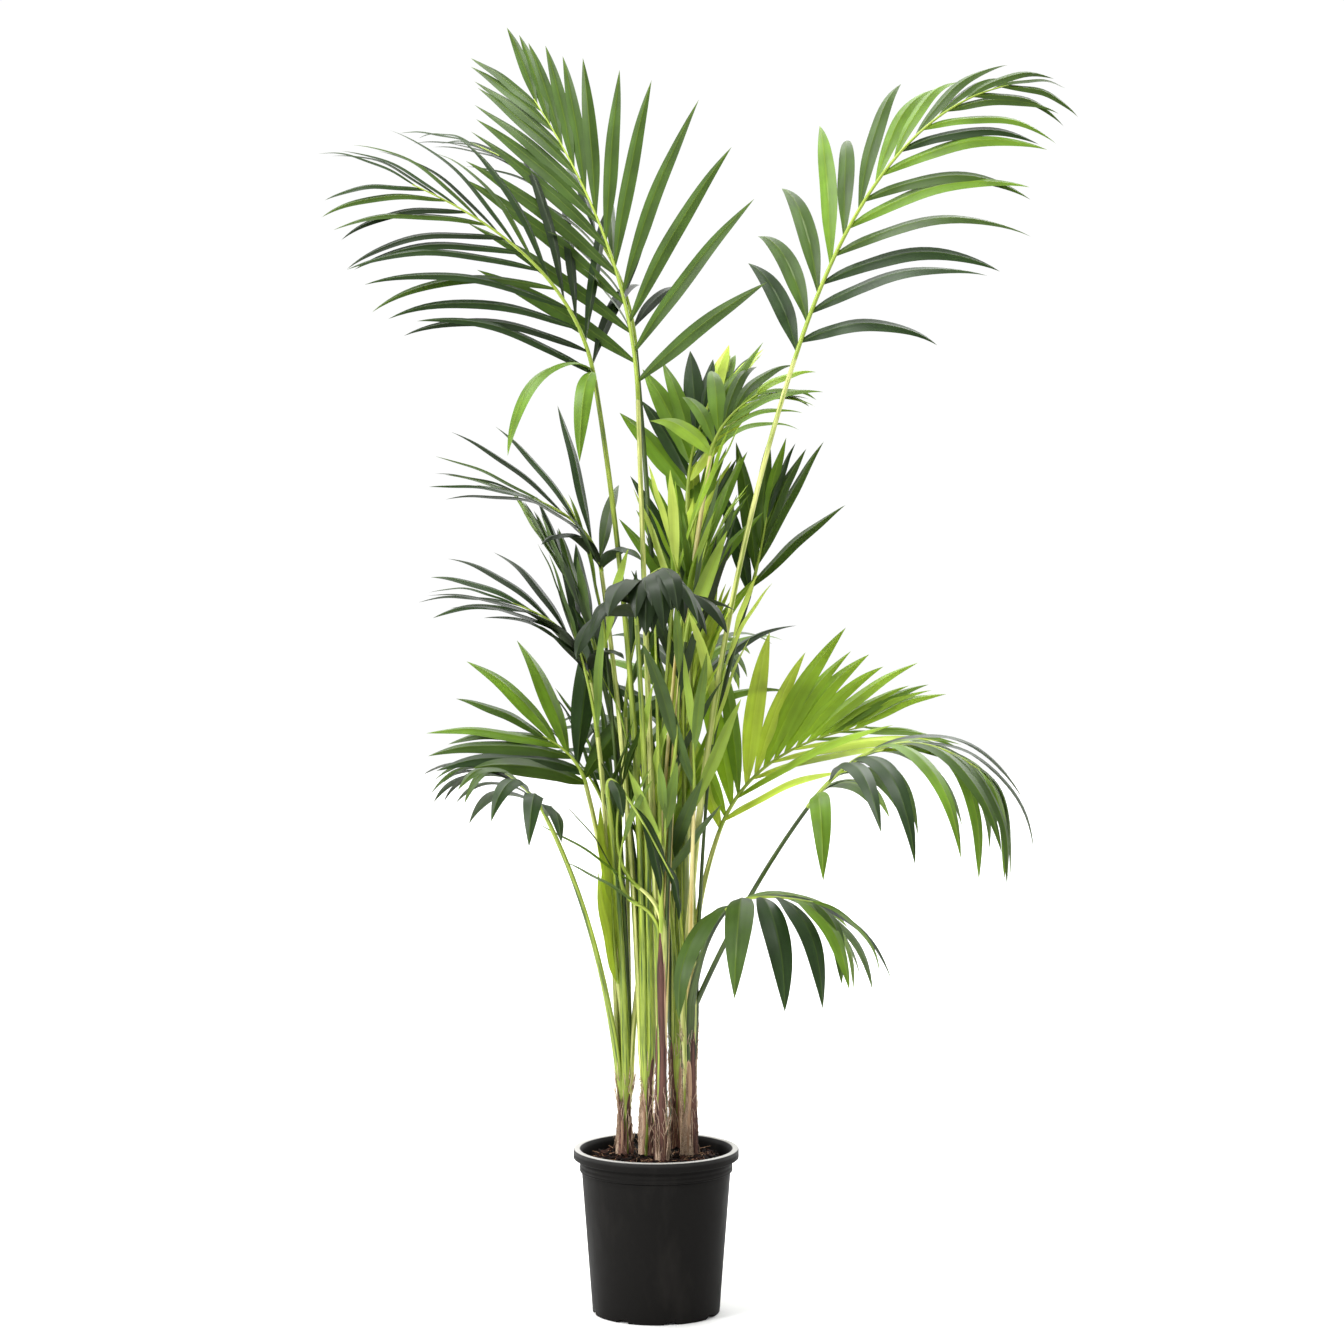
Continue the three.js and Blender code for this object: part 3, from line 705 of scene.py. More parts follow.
DROOP_SWAY = 0.14
FIRST_AT = 0.02
LAST_AT = 0.98
SIDE_SHIFT = 0.35
SWINGS = (0, 7, -7, 14, -14)
LIFTS = (0, 9, -9, 18, -18)
VARIANTS = np.array([(lift, swing) for lift in LIFTS for swing in SWINGS], float)  # degrees


@dataclass(frozen=True)
class Stem:
    """Where a stem stands, its height, its radius at the foot, and the ring on which its petioles stand."""

    x: float
    y: float
    top: float
    foot: float
    ring: float

    def bundle(self, z: Array | float) -> Array:
        """Gives the radius of the ring of sheaths at heights z, drawn in at its waist and at its foot."""
        share = np.clip((np.asarray(z) - MOUND_TOP) / (self.top - MOUND_TOP), 0.0, 1.0)
        return self.ring * (1 - BUNDLE_WAIST * np.sin(np.pi * share) ** 2 - BUNDLE_FOOT * (1 - share))

    def beside(self, heading: float, z: Array, phase: float) -> Array:
        """Gives the middle of a sheath that stands on one side of the stem and sways slowly sideways.

        Args:
            heading: the side of the stem, in degrees.
            z: heights from the sheath's foot to its top.
            phase: where its sway starts, in radians.

        Returns:
            The points, heights by 3.
        """
        share = (z - z[0]) / (z[-1] - z[0])
        sway = SHEATH_SWAY * np.sin(SHEATH_BEAT * share + phase) * np.sin(np.pi * share)
        axis = np.array([self.x, self.y, 0.0]) + z[:, None] * UP
        return axis + self.bundle(z)[:, None] * plan(heading) + sway[:, None] * plan(heading + 90)


STEMS = {
    "left": Stem(-46, 12, 345, 15.5, 9.5),
    "inner": Stem(-13, 0, 400, 15.5, 9.5),
    "front": Stem(8, -36, 560, 16, 6.8),
    "right": Stem(48, 4, 450, 16, 9.5),
    "back": Stem(30, 52, 420, 16, 9.5),
}


@dataclass(frozen=True)
class Strap:
    """A broad leaflet near a frond's throat that hangs by itself."""

    at: float
    heading: float
    lean: float
    length: float
    width: float
    droop: float
    hang: float
    green: Green | None = None  # its frond's where none is named


@dataclass(frozen=True)
class Frond:
    """One leaf of the palm: its petiole's foot and throat, its rib's end, and the rule of its leaflets.

    slot is the heading of the petiole's foot on its stem. out and up place the throat from the foot, and
    tip_out and tip_up the rib's end from the throat.
    """

    stem: str
    slot: float | None
    heading: float
    out: float
    up: float
    lean: float = 2
    blade: float = 0
    tip_out: float = 0
    tip_up: float = 0
    arch: float = 0.5
    pairs: int = 9
    leaf: float = 200
    width: float = 22
    spread: float = 50
    spread_tip: float = 12
    close: float = 2
    crowd: float = 1
    lift: float = 10
    droop: float = 30
    hang: float = 1.3
    level: float = 1.0
    sway: float = 1.0  # how far leaflets stray from their neighbours
    face: float = 0
    base_leaf: float = 0.8
    tip_leaf: float = 0.55
    left_from: float = 0
    straps: tuple[Strap, ...] = ()
    green: Green = Green.MID

    def petiole(self) -> Bend:
        """Gives the petiole's curve.

        Returns:
            The curve from the petiole's foot to the frond's throat.
        """
        stem = STEMS[self.stem]
        foot = np.array([stem.x, stem.y, stem.top], float)
        if self.slot is not None:
            foot = foot + stem.ring * plan(self.slot)
        throat = np.array([foot[0], foot[1], self.up]) + self.out * plan(self.heading)
        return Bend(foot + GAP * UP, pointing(self.heading, self.lean), throat, PETIOLE_BEND)

    def rib(self) -> Bend:
        """Gives the rib's curve, which carries on from the petiole.

        Returns:
            The curve from the frond's throat to the rib's end.
        """
        petiole = self.petiole()
        way = petiole.direction(1.0)
        start = petiole.end + GAP * way
        end = np.array([start[0], start[1], self.tip_up]) + self.tip_out * plan(self.blade)
        return Bend(start, way, end, self.arch)


FRONDS = {
    "top_centre": Frond(
        "front", 150, 140, 36, 1322, lean=3, blade=130, tip_out=240, tip_up=1762, arch=0.42,
        pairs=12, leaf=300, width=22, spread=57, spread_tip=13, close=2.4, sway=0.3,
        lift=12, droop=14, level=0.3, face=48, base_leaf=0.72, tip_leaf=0.5, left_from=0.1, green=Green.MID,
    ),
    "top_left": Frond(
        "inner", 240, 205, 76, 1350, lean=0, blade=195, tip_out=262, tip_up=1622, arch=0.47,
        pairs=12, leaf=310, width=21, spread=54, spread_tip=17, close=1.2,
        lift=-16, droop=42, hang=1.6, face=58, base_leaf=0.92, tip_leaf=0.45,
        straps=(
            Strap(0.03, 228, 50, 250, 28, 125, 0.7, Green.FRESH),
            Strap(0.02, 262, 62, 200, 26, 115, 0.6, Green.MID),
        ),
        green=Green.DARK,
    ),
    "top_right": Frond(
        "right", 213, 350, 160, 1380, lean=3, blade=5, tip_out=305, tip_up=1768, arch=0.74,
        pairs=12, leaf=285, width=26, spread=46, spread_tip=12, close=1,
        lift=-16, droop=55, hang=1.4, face=-54, base_leaf=0.65, tip_leaf=0.4, green=Green.MID,
    ),
    "top_back": Frond(
        "back", 206, 130, 80, 1400, blade=150, tip_out=290, tip_up=1705,
        pairs=9, leaf=220, width=15, spread=52, spread_tip=15, lift=8, droop=35, green=Green.DARK,
    ),
    "crown_back": Frond(
        "back", 278, 80, 85, 1185, blade=60, tip_out=100, tip_up=1340, arch=0.5,
        pairs=5, leaf=190, width=30, spread=40, spread_tip=8, lift=15, droop=20, green=Green.FRESH,
    ),
    "crown_right": Frond(
        "front", 30, 60, 130, 1240, lean=3, blade=10, tip_out=70, tip_up=1330,
        pairs=4, leaf=165, width=24, spread=50, spread_tip=14, droop=60, face=-40, green=Green.FRESH,
    ),
    "middle_right": Frond(
        "back", 350, 35, 118, 1035, blade=30, tip_out=30, tip_up=1150, arch=0.4,
        pairs=4, leaf=205, width=23, spread=32, spread_tip=4, lift=12, droop=16, face=-42, green=Green.MID,
    ),
    "middle_back": Frond(
        "right", 141, 85, 50, 1005, blade=75, tip_out=60, tip_up=1160, arch=0.4,
        pairs=5, leaf=205, width=22, spread=34, spread_tip=6, lift=12, droop=16, green=Green.FRESH,
    ),
    "middle_left": Frond(
        "inner", 165, 185, 56, 1076, blade=190, tip_out=110, tip_up=1185,
        pairs=6, leaf=252, width=19, spread=55, close=1.2, lift=5, droop=24, face=26,
        straps=(Strap(0.03, 300, 35, 130, 34, 90, 0.9), Strap(0.05, 230, 25, 150, 34, 100, 1)),
        green=Green.DARK,
    ),
    "lower_left": Frond(
        "left", 45, 170, 56, 914, lean=4, blade=180, tip_out=115, tip_up=1030,
        pairs=6, leaf=235, width=20, spread=50, close=1.2, lift=5, droop=38, face=26,
        straps=(Strap(0.05, 215, 20, 165, 34, 60, 1), Strap(0.1, 300, 30, 120, 30, 90, 0.9)),
        green=Green.DEEP, spread_tip=10,
    ),
    "inner_left": Frond(
        "inner", 90, 172, 75, 962, blade=176, tip_out=65, tip_up=1105, arch=0.4,
        pairs=4, leaf=180, width=26, spread=30, spread_tip=8, lift=15, droop=10, green=Green.MID,
    ),
    "inner_right": Frond(
        "inner", 22, 20, 40, 800, blade=30, tip_out=40, tip_up=960, arch=0.4,
        pairs=5, leaf=190, width=24, spread=24, spread_tip=5, lift=12, droop=12, green=Green.LIME,
    ),
    "middle_front": Frond(
        "inner", 315, 256, 85, 1005, lean=3, blade=290, tip_out=105, tip_up=1090,
        pairs=5, leaf=185, width=32, spread=42, spread_tip=10, lift=-10, droop=105, hang=0.9,
        green=Green.DEEP,
    ),
    "low_left_fan": Frond(
        "left", 145, 188, 48, 768, lean=0, blade=180, tip_out=62, tip_up=838,
        pairs=5, leaf=252, width=25, spread=60, spread_tip=12, close=1, lift=5, droop=32, face=50,
        green=Green.MID,
    ),
    "low_left_front": Frond(
        "left", 215, 215, 125, 729, lean=8, blade=200, tip_out=62, tip_up=795,
        pairs=5, leaf=220, spread=56, spread_tip=34, lift=5, droop=86, width=24, green=Green.DARK, hang=1.1,
    ),
    "column_left": Frond(
        "left", 345, 30, 50, 640, blade=50, tip_out=35, tip_up=785, arch=0.4,
        pairs=4, leaf=175, width=25, spread=22, spread_tip=5, lift=12, droop=10, green=Green.LIME,
    ),
    "low_right_fan": Frond(
        "right", 69, 30, 46, 696, lean=0, blade=15, tip_out=225, tip_up=845, arch=0.5,
        pairs=8, leaf=262, width=24, spread=42, spread_tip=20, close=1.2, lift=22, droop=28, face=-42,
        green=Green.BRIGHT,
    ),
    "low_right_arch": Frond(
        "right", 357, 345, 165, 740, lean=24, blade=345, tip_out=250, tip_up=800, arch=0.75,
        pairs=8, leaf=330, width=22, spread=58, spread_tip=34, lift=8, droop=100, hang=1.0, base_leaf=0.62,
        crowd=1.1, green=Green.MID,
    ),
    "low_right_front": Frond(
        "right", 285, 300, 100, 600, lean=15, blade=325, tip_out=145, tip_up=622, arch=0.4,
        pairs=6, leaf=262, width=28, spread=75, spread_tip=26, droop=96, hang=0.9, green=Green.MID,
    ),
    "low_front": Frond(
        "left", 285, 240, 50, 755, blade=312, tip_out=140, tip_up=650,
        pairs=3, leaf=125, width=20, spread=26, spread_tip=8, droop=50, green=Green.DARK,
    ),
    "young_left": Frond(
        "left", None, 230, 14, 480, lean=1, blade=150, tip_out=10, tip_up=640, arch=0.4,
        pairs=2, leaf=200, width=44, spread=7, spread_tip=4, lift=10, droop=3, green=Green.LIME,
    ),
    "back_high": Frond(
        "back", 62, 85, 60, 820, lean=4, blade=80, tip_out=290, tip_up=940, arch=0.6,
        pairs=9, leaf=215, spread=46, lift=12, droop=60, green=Green.MID,
    ),
    "back_low": Frond(
        "back", 134, 110, 70, 715, lean=6, blade=105, tip_out=260, tip_up=830, arch=0.6,
        pairs=8, leaf=205, spread=46, spread_tip=14, droop=75, green=Green.DARK,
    ),
}
SPEARS = {
    "front": Frond("front", 270, 200, 10, 1010, lean=1),
    "inner": Frond("inner", None, 20, 8, 800, lean=1),
}

HUSK_TOPS = {"left": 115.0, "inner": 125.0, "front": 110.0, "right": 190.0, "back": 170.0}
YOUNG_SLIM = 0.75  # the thickness of a young petiole, as a share of a grown one's
SKIN_MM = 0.3  # that a finished petiole's foot is thicker than the plan's
FOOT_WIDENS = 1.8  # that it is wider than it is thick, on each side
LIMBS_FROM = 0.12  # the share of a petiole under which it is one of its stem's bundle
PETIOLE_SKINS = {
    Skin.LIME: ("top_centre", "top_right", "middle_left", "lower_left", "low_left_fan"),
    Skin.GREEN: ("crown_back", "middle_back"),
    Skin.DEEP: ("top_back", "middle_right", "inner_left", "low_right_arch", "low_right_front", "back_low"),
    Skin.CREAM: ("crown_right",),
}
YOUNG_SKINS = (Skin.LIME, Skin.GREEN, Skin.LIME, Skin.DEEP, Skin.GREEN, Skin.LIME, Skin.CREAM)


@dataclass(frozen=True)
class Fullness:
    """How a frond's leaflets fill out its blades: their width, and the hands with finer ones between them."""

    width: float = 1.08
    between: tuple[int, ...] = ()
    varied: int = 1  # the steps by which its leaflets may differ in green


FULLNESS = {
    "top_centre": Fullness(1.12, (), 0),
    "top_left": Fullness(0.9),
    "top_right": Fullness(1.1),
    "crown_back": Fullness(1.15, (1, -1), 2),
    "crown_right": Fullness(1.15, (1, -1), 1),
    "middle_right": Fullness(1.15),
    "middle_back": Fullness(1.1, (1, -1), 2),
    "middle_front": Fullness(1.35, (1,)),
    "inner_left": Fullness(1.15, (1, -1)),
    "low_left_fan": Fullness(1.45),
    "low_left_front": Fullness(1.2, (1,)),
    "low_right_fan": Fullness(1.25, (-1,)),
    "low_right_arch": Fullness(1.4, (-1,)),
    "low_right_front": Fullness(1.5),
    "young_left": Fullness(1.25, (), 0),
}


def limb_points(fronds: list[Frond]) -> Array:
    """Gives points along the petioles of some fronds, each from where it leaves its stem's bundle."""
    t = np.linspace(LIMBS_FROM, 1.0, 50)
    return np.concatenate([frond.petiole().point(t) for frond in fronds])


@dataclass(frozen=True)
class YoungLeaves:
    """The steep, narrow young leaves inside the clump, and the ranges from which they are drawn."""

    count: int = 24
    draws: int = 20  # of which the one whose petiole's points stand farthest from the others' is kept
    up: Range = (600, 1040)
    slot: Range = (0, 360)
    out: Range = (5, 40)
    turn: Range = (-50, 50)  # from the petiole's heading to the blade's
    tip_out: Range = (15, 50)
    rise: Range = (90, 170)  # from the throat to the rib's end
    leaf: Range = (150, 240)
    width: Range = (11, 20)
    spread: Range = (10, 26)
    droop: Range = (6, 26)
    # the lighter greens here are partly painted glow, standing in for light shining through the young leaves
    greens: tuple[Green, ...] = (Green.LIME, Green.BRIGHT, Green.FRESH, Green.MID, Green.DARK)
    shares: tuple[float, ...] = (0.2, 0.26, 0.22, 0.2, 0.12)  # of the leaves, for each green

    def frond(self, stem: str, rng: np.random.Generator) -> Frond:
        """Draws one young leaf.

        Args:
            stem: the stem that it grows from.
            rng: the seeded source of its sizes.

        Returns:
            The leaf's plan.
        """
        up, heading = rng.uniform(*self.up), rng.uniform(0, 360)
        return Frond(
            stem, rng.uniform(*self.slot), heading, rng.uniform(*self.out), up, lean=1.5,
            blade=heading + rng.uniform(*self.turn), tip_out=rng.uniform(*self.tip_out),
            tip_up=up + rng.uniform(*self.rise), arch=0.4, pairs=2, leaf=rng.uniform(*self.leaf),
            width=rng.uniform(*self.width), spread=rng.uniform(*self.spread), spread_tip=5, lift=12,
            droop=rng.uniform(*self.droop), green=self.greens[rng.choice(len(self.greens), p=self.shares)],
        )

    def fronds(self) -> dict[str, Frond]:
        """Draws all the young leaves, stem by stem in turn.

        Returns:
            Their plans by name.
        """
        rng = np.random.default_rng(SEED + 3)
        drawn: dict[str, Frond] = {}
        limbs = limb_points([*FRONDS.values(), *SPEARS.values()])
        for number in range(self.count):
            stem = list(STEMS)[number % len(STEMS)]
            fronds = [self.frond(stem, rng) for _ in range(self.draws)]
            lines = [limb_points([frond]) for frond in fronds]
            gaps = [np.linalg.norm(line[:, None] - limbs[None], axis=-1).min() for line in lines]
            best = int(np.argmax(gaps))
            drawn[f"young_{number + 1}"] = fronds[best]
            limbs = np.concatenate([limbs, lines[best]])
        return drawn


YOUNG = YoungLeaves().fronds()
LEAVES = {**FRONDS, **YOUNG}


def foot_size(name: str) -> tuple[float, float]:
    """Gives half the thickness and half the width of a petiole at its foot."""
    depth = PETIOLE_FOOT * (1.0 if name in FRONDS else YOUNG_SLIM) + SKIN_MM
    return depth, depth + FOOT_WIDENS


def skin_of(name: str) -> Skin:
    """Gives the skin of a frond's petiole.

    Args:
        name: the frond's name in the plan.

    Returns:
        The skin that the plan names for it, else one near the frond's green.
    """
    if name in YOUNG:
        return YOUNG_SKINS[list(YOUNG).index(name) % len(YOUNG_SKINS)]
    for skin, names in PETIOLE_SKINS.items():
        if name in names:
            return skin
    return Skin.LIME if GREENS.index(LEAVES[name].green) >= GREENS.index(Green.FRESH) else Skin.GREEN


# Leaflets


@dataclass(frozen=True)
class Leaflets:
    """Leaflets side by side as arrays: root, way and across by 3, the rest one number each."""

    root: Array
    way: Array
    across: Array
    length: Array
    width: Array
    droop: Array
    hang: Array
    level: Array

    def pick(self, number: int) -> "Leaflets":
        """Gives the one leaflet with that number, still as arrays."""
        one = slice(number, number + 1)
        return Leaflets(*(getattr(self, name)[one] for name in self.__dataclass_fields__))

    def spine(self, steps: int) -> tuple[Array, Array]:
        """Gives the points and directions along every leaflet.

        The direction at share w turns from way towards the ground by droop times w^hang, and never past it.
        The points are the running sum of the mean of neighbouring directions.

        Args:
            steps: how many parts each leaflet is cut into.

        Returns:
            Points and unit directions, leaflets by steps + 1 by 3 each.
        """
        w = np.linspace(0.0, 1.0, steps + 1)
        steep = self.way @ DOWN
        sink = unit(DOWN - self.way * steep[:, None])
        turn = np.radians(self.droop)[:, None] * w ** self.hang[:, None]
        turn = np.minimum(turn, np.arccos(np.clip(steep, -1.0, 1.0))[:, None])[..., None]
        ways = self.way[:, None] * np.cos(turn) + sink[:, None] * np.sin(turn)
        mean = (ways[:, 1:] + ways[:, :-1]) / 2
        run = np.concatenate([np.zeros_like(mean[:, :1]), mean.cumsum(axis=1)], axis=1)
        return self.root[:, None] + run * (self.length / steps)[:, None, None], ways

    def sides(self, ways: Array) -> Array:
        """Gives the unit vectors across every leaflet.

        They start along across, and lean towards the level vector way x UP by level times an eased share.

        Args:
            ways: the directions along the leaflets, leaflets by steps + 1 by 3.

        Returns:
            Unit vectors square to them, in the same form.
        """
        w = np.linspace(0.0, 1.0, ways.shape[1])
        turn = self.level[:, None, None] * smooth(w / LEVEL_BY)[None, :, None]
        raw = self.across[:, None] + turn * np.cross(ways, UP)
        return unit(raw - ways * (ways * raw).sum(-1, keepdims=True))


def joined(parts: list[Leaflets]) -> Leaflets:
    """Puts sets of leaflets into one."""
    names = Leaflets.__dataclass_fields__
    return Leaflets(*(np.concatenate([getattr(part, name) for part in parts]) for name in names))


def rib_leaflets(frond: Frond, rib: Bend, share: float, hand: int, beat: float) -> Leaflets:
    """Gives every variant of the leaflet at one place of a rib.

    Args:
        frond: the frond's plan.
        rib: its rib's curve.
        share: the place, as a share of the rib's length.
        hand: 1 on the rib's right, -1 on its left.
        beat: the leaflet's count along the rib, from which it strays from its neighbours.

    Returns:
        The leaflet's variants, in the order in which they are tried.
    """
    t = rib.parameter(share)
    way = rib.direction(t)
    level = plan(frond.blade - 90)
    side = unit(level - way * (way @ level))
    upper = np.cross(side, way)
    turn = np.radians(frond.face)
    side, upper = side * np.cos(turn) + upper * np.sin(turn), upper * np.cos(turn) - side * np.sin(turn)
    stray, other = (frond.sway * np.sin(a * beat + b * hand) for a, b in (SWING_BEATS, LIFT_BEATS))
    lifts, swings = VARIANTS.T
    opening = frond.spread_tip + (frond.spread - frond.spread_tip) * (1 - share) ** frond.close
    spread = np.radians(opening + SWAY * stray + swings)[:, None]
    lift = np.radians(frond.lift + SWAY * other + lifts)[:, None]
    outward = side * hand * np.cos(lift) + upper * np.sin(lift)
    ways = way * np.cos(spread) + outward * np.sin(spread)
    face = np.cross(ways, way) * hand
    if share < WIDEST_AT:
        growth = 1 - (1 - frond.base_leaf) * (1 - share / WIDEST_AT) ** 2
    else:
        growth = 1 - (1 - frond.tip_leaf) * ((share - WIDEST_AT) / (1 - WIDEST_AT)) ** LENGTH_FALL
    count = len(VARIANTS)
    return Leaflets(
        root=np.tile(rib.point(t), (count, 1)),
        way=ways,
        across=unit(np.cross(ways, face)),
        length=np.full(count, frond.leaf * growth * (1 + LENGTH_SWAY * other)),
        width=np.full(count, frond.width * (1 - (1 - TIP_WIDTH) * share**2)),
        droop=np.full(count, frond.droop * (1 + DROOP_SWAY * stray)),
        hang=np.full(count, frond.hang),
        level=np.full(count, frond.level),
    )


def strap_leaflets(strap: Strap, rib: Bend) -> Leaflets:
    """Gives every variant of a strap.

    Args:
        strap: the strap's plan.
        rib: the rib that it hangs from.

    Returns:
        The strap's variants, in the order in which they are tried.
    """
    lifts, swings = VARIANTS.T
    ways = pointing(strap.heading + swings, strap.lean - lifts)
    count = len(VARIANTS)
    return Leaflets(
        root=np.tile(rib.point(rib.parameter(strap.at)), (count, 1)),
        way=ways,
        across=unit(np.cross(ways, UP)),
        length=np.full(count, strap.length),
        width=np.full(count, strap.width),
        droop=np.full(count, strap.droop),
        hang=np.full(count, strap.hang),
        level=np.zeros(count),
    )


def leaf_outline(w: Array) -> Array:
    """Gives a leaflet's outline, which eases from the narrow root and falls as 1 - s^TAPER to the tip.

    Args:
        w: shares of the leaflet's length.

    Returns:
        The shares of its full width at them.
    """
    rise = ROOT_SHARE + (1 - ROOT_SHARE) * np.sin(np.pi / 2 * np.clip(w / FULLEST_AT, 0.0, 1.0))
    fall = 1 - np.clip((w - FULLEST_AT) / (1 - FULLEST_AT), 0.0, 1.0) ** TAPER
    return np.where(w < FULLEST_AT, rise, fall)


@dataclass
class Crown:
    """Every frond's rib and leaflets."""

    steps: int = 20  # along a leaflet
    columns: tuple[float, ...] = (-1.0, -0.74, -0.42, -0.13, 0.0, 0.13, 0.42, 0.74, 1.0)
    fold: float = 0.24  # fall of the blade's halves from its ridge, as a slope
    thick_mm: float = 0.9  # at the midrib
    margin_mm: float = 0.35
    midrib_mm: float = 0.5  # that the midrib stands proud
    midrib_wide: float = 0.1  # its half width, as a share of the blade's
    thick_wide: float = 0.25  # the same for the thick middle
    keel: float = 0.4  # the share of the midrib's height that also shows below
    full_by: float = 1.6  # how soon the middle reaches its thickness, over the blade's own widening
    ripple_mm: float = 1.3
    ripples: float = 1.6  # along a leaflet
    twist_deg: float = 4.0
    twist_beat: float = 5.0  # radians along a leaflet
    roll_deg: float = 9.0
    shades: tuple[float, ...] = (0.24, 0.52, 0.24)  # of the leaflets, a green darker, the same and lighter
    clearance_mm: float = 7.0  # from the tested points of a leaflet's middle to those of any petiole's
    finer: float = 0.78  # the share of its neighbours' width that a leaflet between them has
    rib_columns: int = 8
    rib_rows: int = 40
    rib_tip: float = 0.9
    rib_taper: float = 0.8  # the power by which a rib thins
    triangles_a_piece: int = 190_000
    rng: np.random.Generator = field(default_factory=lambda: np.random.default_rng(SEED))

    def clear(self, variants: Leaflets, limbs: Array) -> Leaflets:
        """Picks the first variant of a leaflet whose middle tests clear of the petioles' middles.

        Only points are compared, up to 28 mm apart along a leaflet and 19 mm along a petiole. So a petiole
        that passes between them isn't seen, nor one that meets the blade beside its middle.

        Args:
            variants: the leaflet's variants.
            limbs: points along every petiole.

        Returns:
            The first variant that tests clear, or the first of all where none does.
        """
        for number, line in enumerate(variants.spine(LEAF_STEPS)[0]):
            gaps = np.linalg.norm(line[ROOT_STEPS:, None] - limbs[None], axis=-1)
            if gaps.min() > self.clearance_mm:
                return variants.pick(number)
        return variants.pick(0)

    def leaflet(self, frond: Frond, beat: float, hand: int, limbs: Array) -> Leaflets | None:
        """Gives the leaflet at a beat of a frond's rib.

        Args:
            frond: the frond's plan.
            beat: the leaflet's count along the rib.
            hand: 1 on the rib's right, -1 on its left.
            limbs: points along every petiole.

        Returns:
            The leaflet, or None where that side has no leaflets there.
        """
        place = (beat + (SIDE_SHIFT if hand > 0 else 0)) / (frond.pairs - 1 + SIDE_SHIFT)
        share = FIRST_AT + (LAST_AT - FIRST_AT) * place**frond.crowd
        if hand < 0 and share < frond.left_from:
            return None
        return self.clear(rib_leaflets(frond, frond.rib(), share, hand, beat), limbs)

    def leaflets_of(self, name: str, limbs: Array) -> tuple[Leaflets, Array]:
        """Gives a frond's leaflets, the plan's and the finer ones between them.

        Args:
            name: the frond's name in the plan.
            limbs: points along every petiole.

        Returns:
            The leaflets and the number of each one's green.
        """
        frond, full = LEAVES[name], FULLNESS.get(name, Fullness())
        greens = [strap.green or frond.green for strap in frond.straps]
        found = [self.clear(strap_leaflets(strap, frond.rib()), limbs) for strap in frond.straps]
        beats = [(beat, hand, 1.0) for beat in range(frond.pairs) for hand in (1, -1)]
        beats += [(beat + 0.5, hand, self.finer) for beat in range(frond.pairs - 1) for hand in full.between]
        for beat, hand, share in beats:
            leaf = self.leaflet(frond, beat, hand, limbs)
            if leaf is not None:
                wide, long = leaf.width * full.width * share, leaf.length * share**0.5
                found.append(replace(leaf, width=wide, length=long))
        greens += [frond.green] * (len(found) - len(greens))
        shift = self.rng.choice([-1, 0, 1], size=len(found), p=self.shades) * full.varied
        numbers = np.array([GREENS.index(green) for green in greens])
        return joined(found), np.clip(numbers + shift, 0, len(GREENS) - 1)

    def blades(self, leaflets: Leaflets, greens: Array) -> Shape:
        """Builds leaflets as closed thin blades.

        Across a blade the upper face falls from its ridge by fold times the distance, with a midrib that
        stands proud as a bell curve; the underside lies under it by a thickness that shrinks to the margin.
        Along it the section rolls and ripples a little, by sines with seeded phases.

        Args:
            leaflets: the leaflets.
            greens: the number of each one's green.

        Returns:
            The blades, with material 2 x green on the upper face and 2 x green + 1 below.
        """
        count = len(leaflets.length)
        middle, ways = leaflets.spine(self.steps)
        w = np.linspace(0.0, 1.0, self.steps + 1)
        side = leaflets.sides(ways)
        ridge = np.cross(side, ways)
        phase, roll = self.rng.uniform(0, 2 * np.pi, count), self.rng.normal(0, self.roll_deg, count)
        twist = np.radians(self.twist_deg) * np.sin(self.twist_beat * w + phase[:, None])
        angle = (np.radians(roll)[:, None] * w + twist * w)[..., None]
        c, s = np.cos(angle), np.sin(angle)
        side, ridge = side * c + ridge * s, ridge * c - side * s
        wave = np.sin(2 * np.pi * self.ripples * w + phase[:, None]) * np.sin(np.pi * w)
        middle = middle + ridge * (self.ripple_mm * wave)[..., None]
        upper = np.array(self.columns)
        lower = upper[-2:0:-1]
        x = np.concatenate([upper, lower])
        whole = leaflets.width[:, None] / 2
        half = (leaf_outline(w)[None] * leaflets.width[:, None] / 2)[..., None]
        slim = np.clip(half / whole[..., None] * self.full_by, 0.0, 1.0)
        rib = self.midrib_mm * np.exp(-((x / self.midrib_wide) ** 2)) * slim
        thick = self.margin_mm + (self.thick_mm - self.margin_mm) * np.exp(-((x / self.thick_wide) ** 2))
        below = np.concatenate([np.zeros(len(upper)), np.ones(len(lower))])
        height = rib * (1 - below) - self.fold * np.abs(x) * half
        height = height - (thick + self.keel * self.midrib_mm) * below * slim
        out = x * half
        points = middle[:, :, None] + side[:, :, None] * out[..., None]
        points = points + ridge[:, :, None] * height[..., None]
        flat = np.stack(np.broadcast_arrays(out, (w * leaflets.length[:, None])[..., None]), -1)
        points = np.concatenate([points[:, :-1].reshape(count, -1, 3), middle[:, -1:]], axis=1).reshape(-1, 3)
        flat = np.concatenate([flat[:, :-1].reshape(count, -1, 2), flat[:, -1, :1]], axis=1).reshape(-1, 2)
        columns, ring = len(x), np.arange(len(x))
        last = (self.steps - 1) * columns
        tip = np.stack([ring + last, (ring + 1) % columns + last, np.full(columns, last + columns)], -1)
        quads, ends = lattice(self.steps, columns, True), np.concatenate([fan(ring, True), tip])
        starts = (np.arange(count) * (last + columns + 1))[:, None, None]
        under = (ring >= len(upper) - 1).astype(int)
        of_quads = np.tile(under, self.steps - 1)
        of_ends = np.concatenate([np.zeros(columns - 2, int), under])
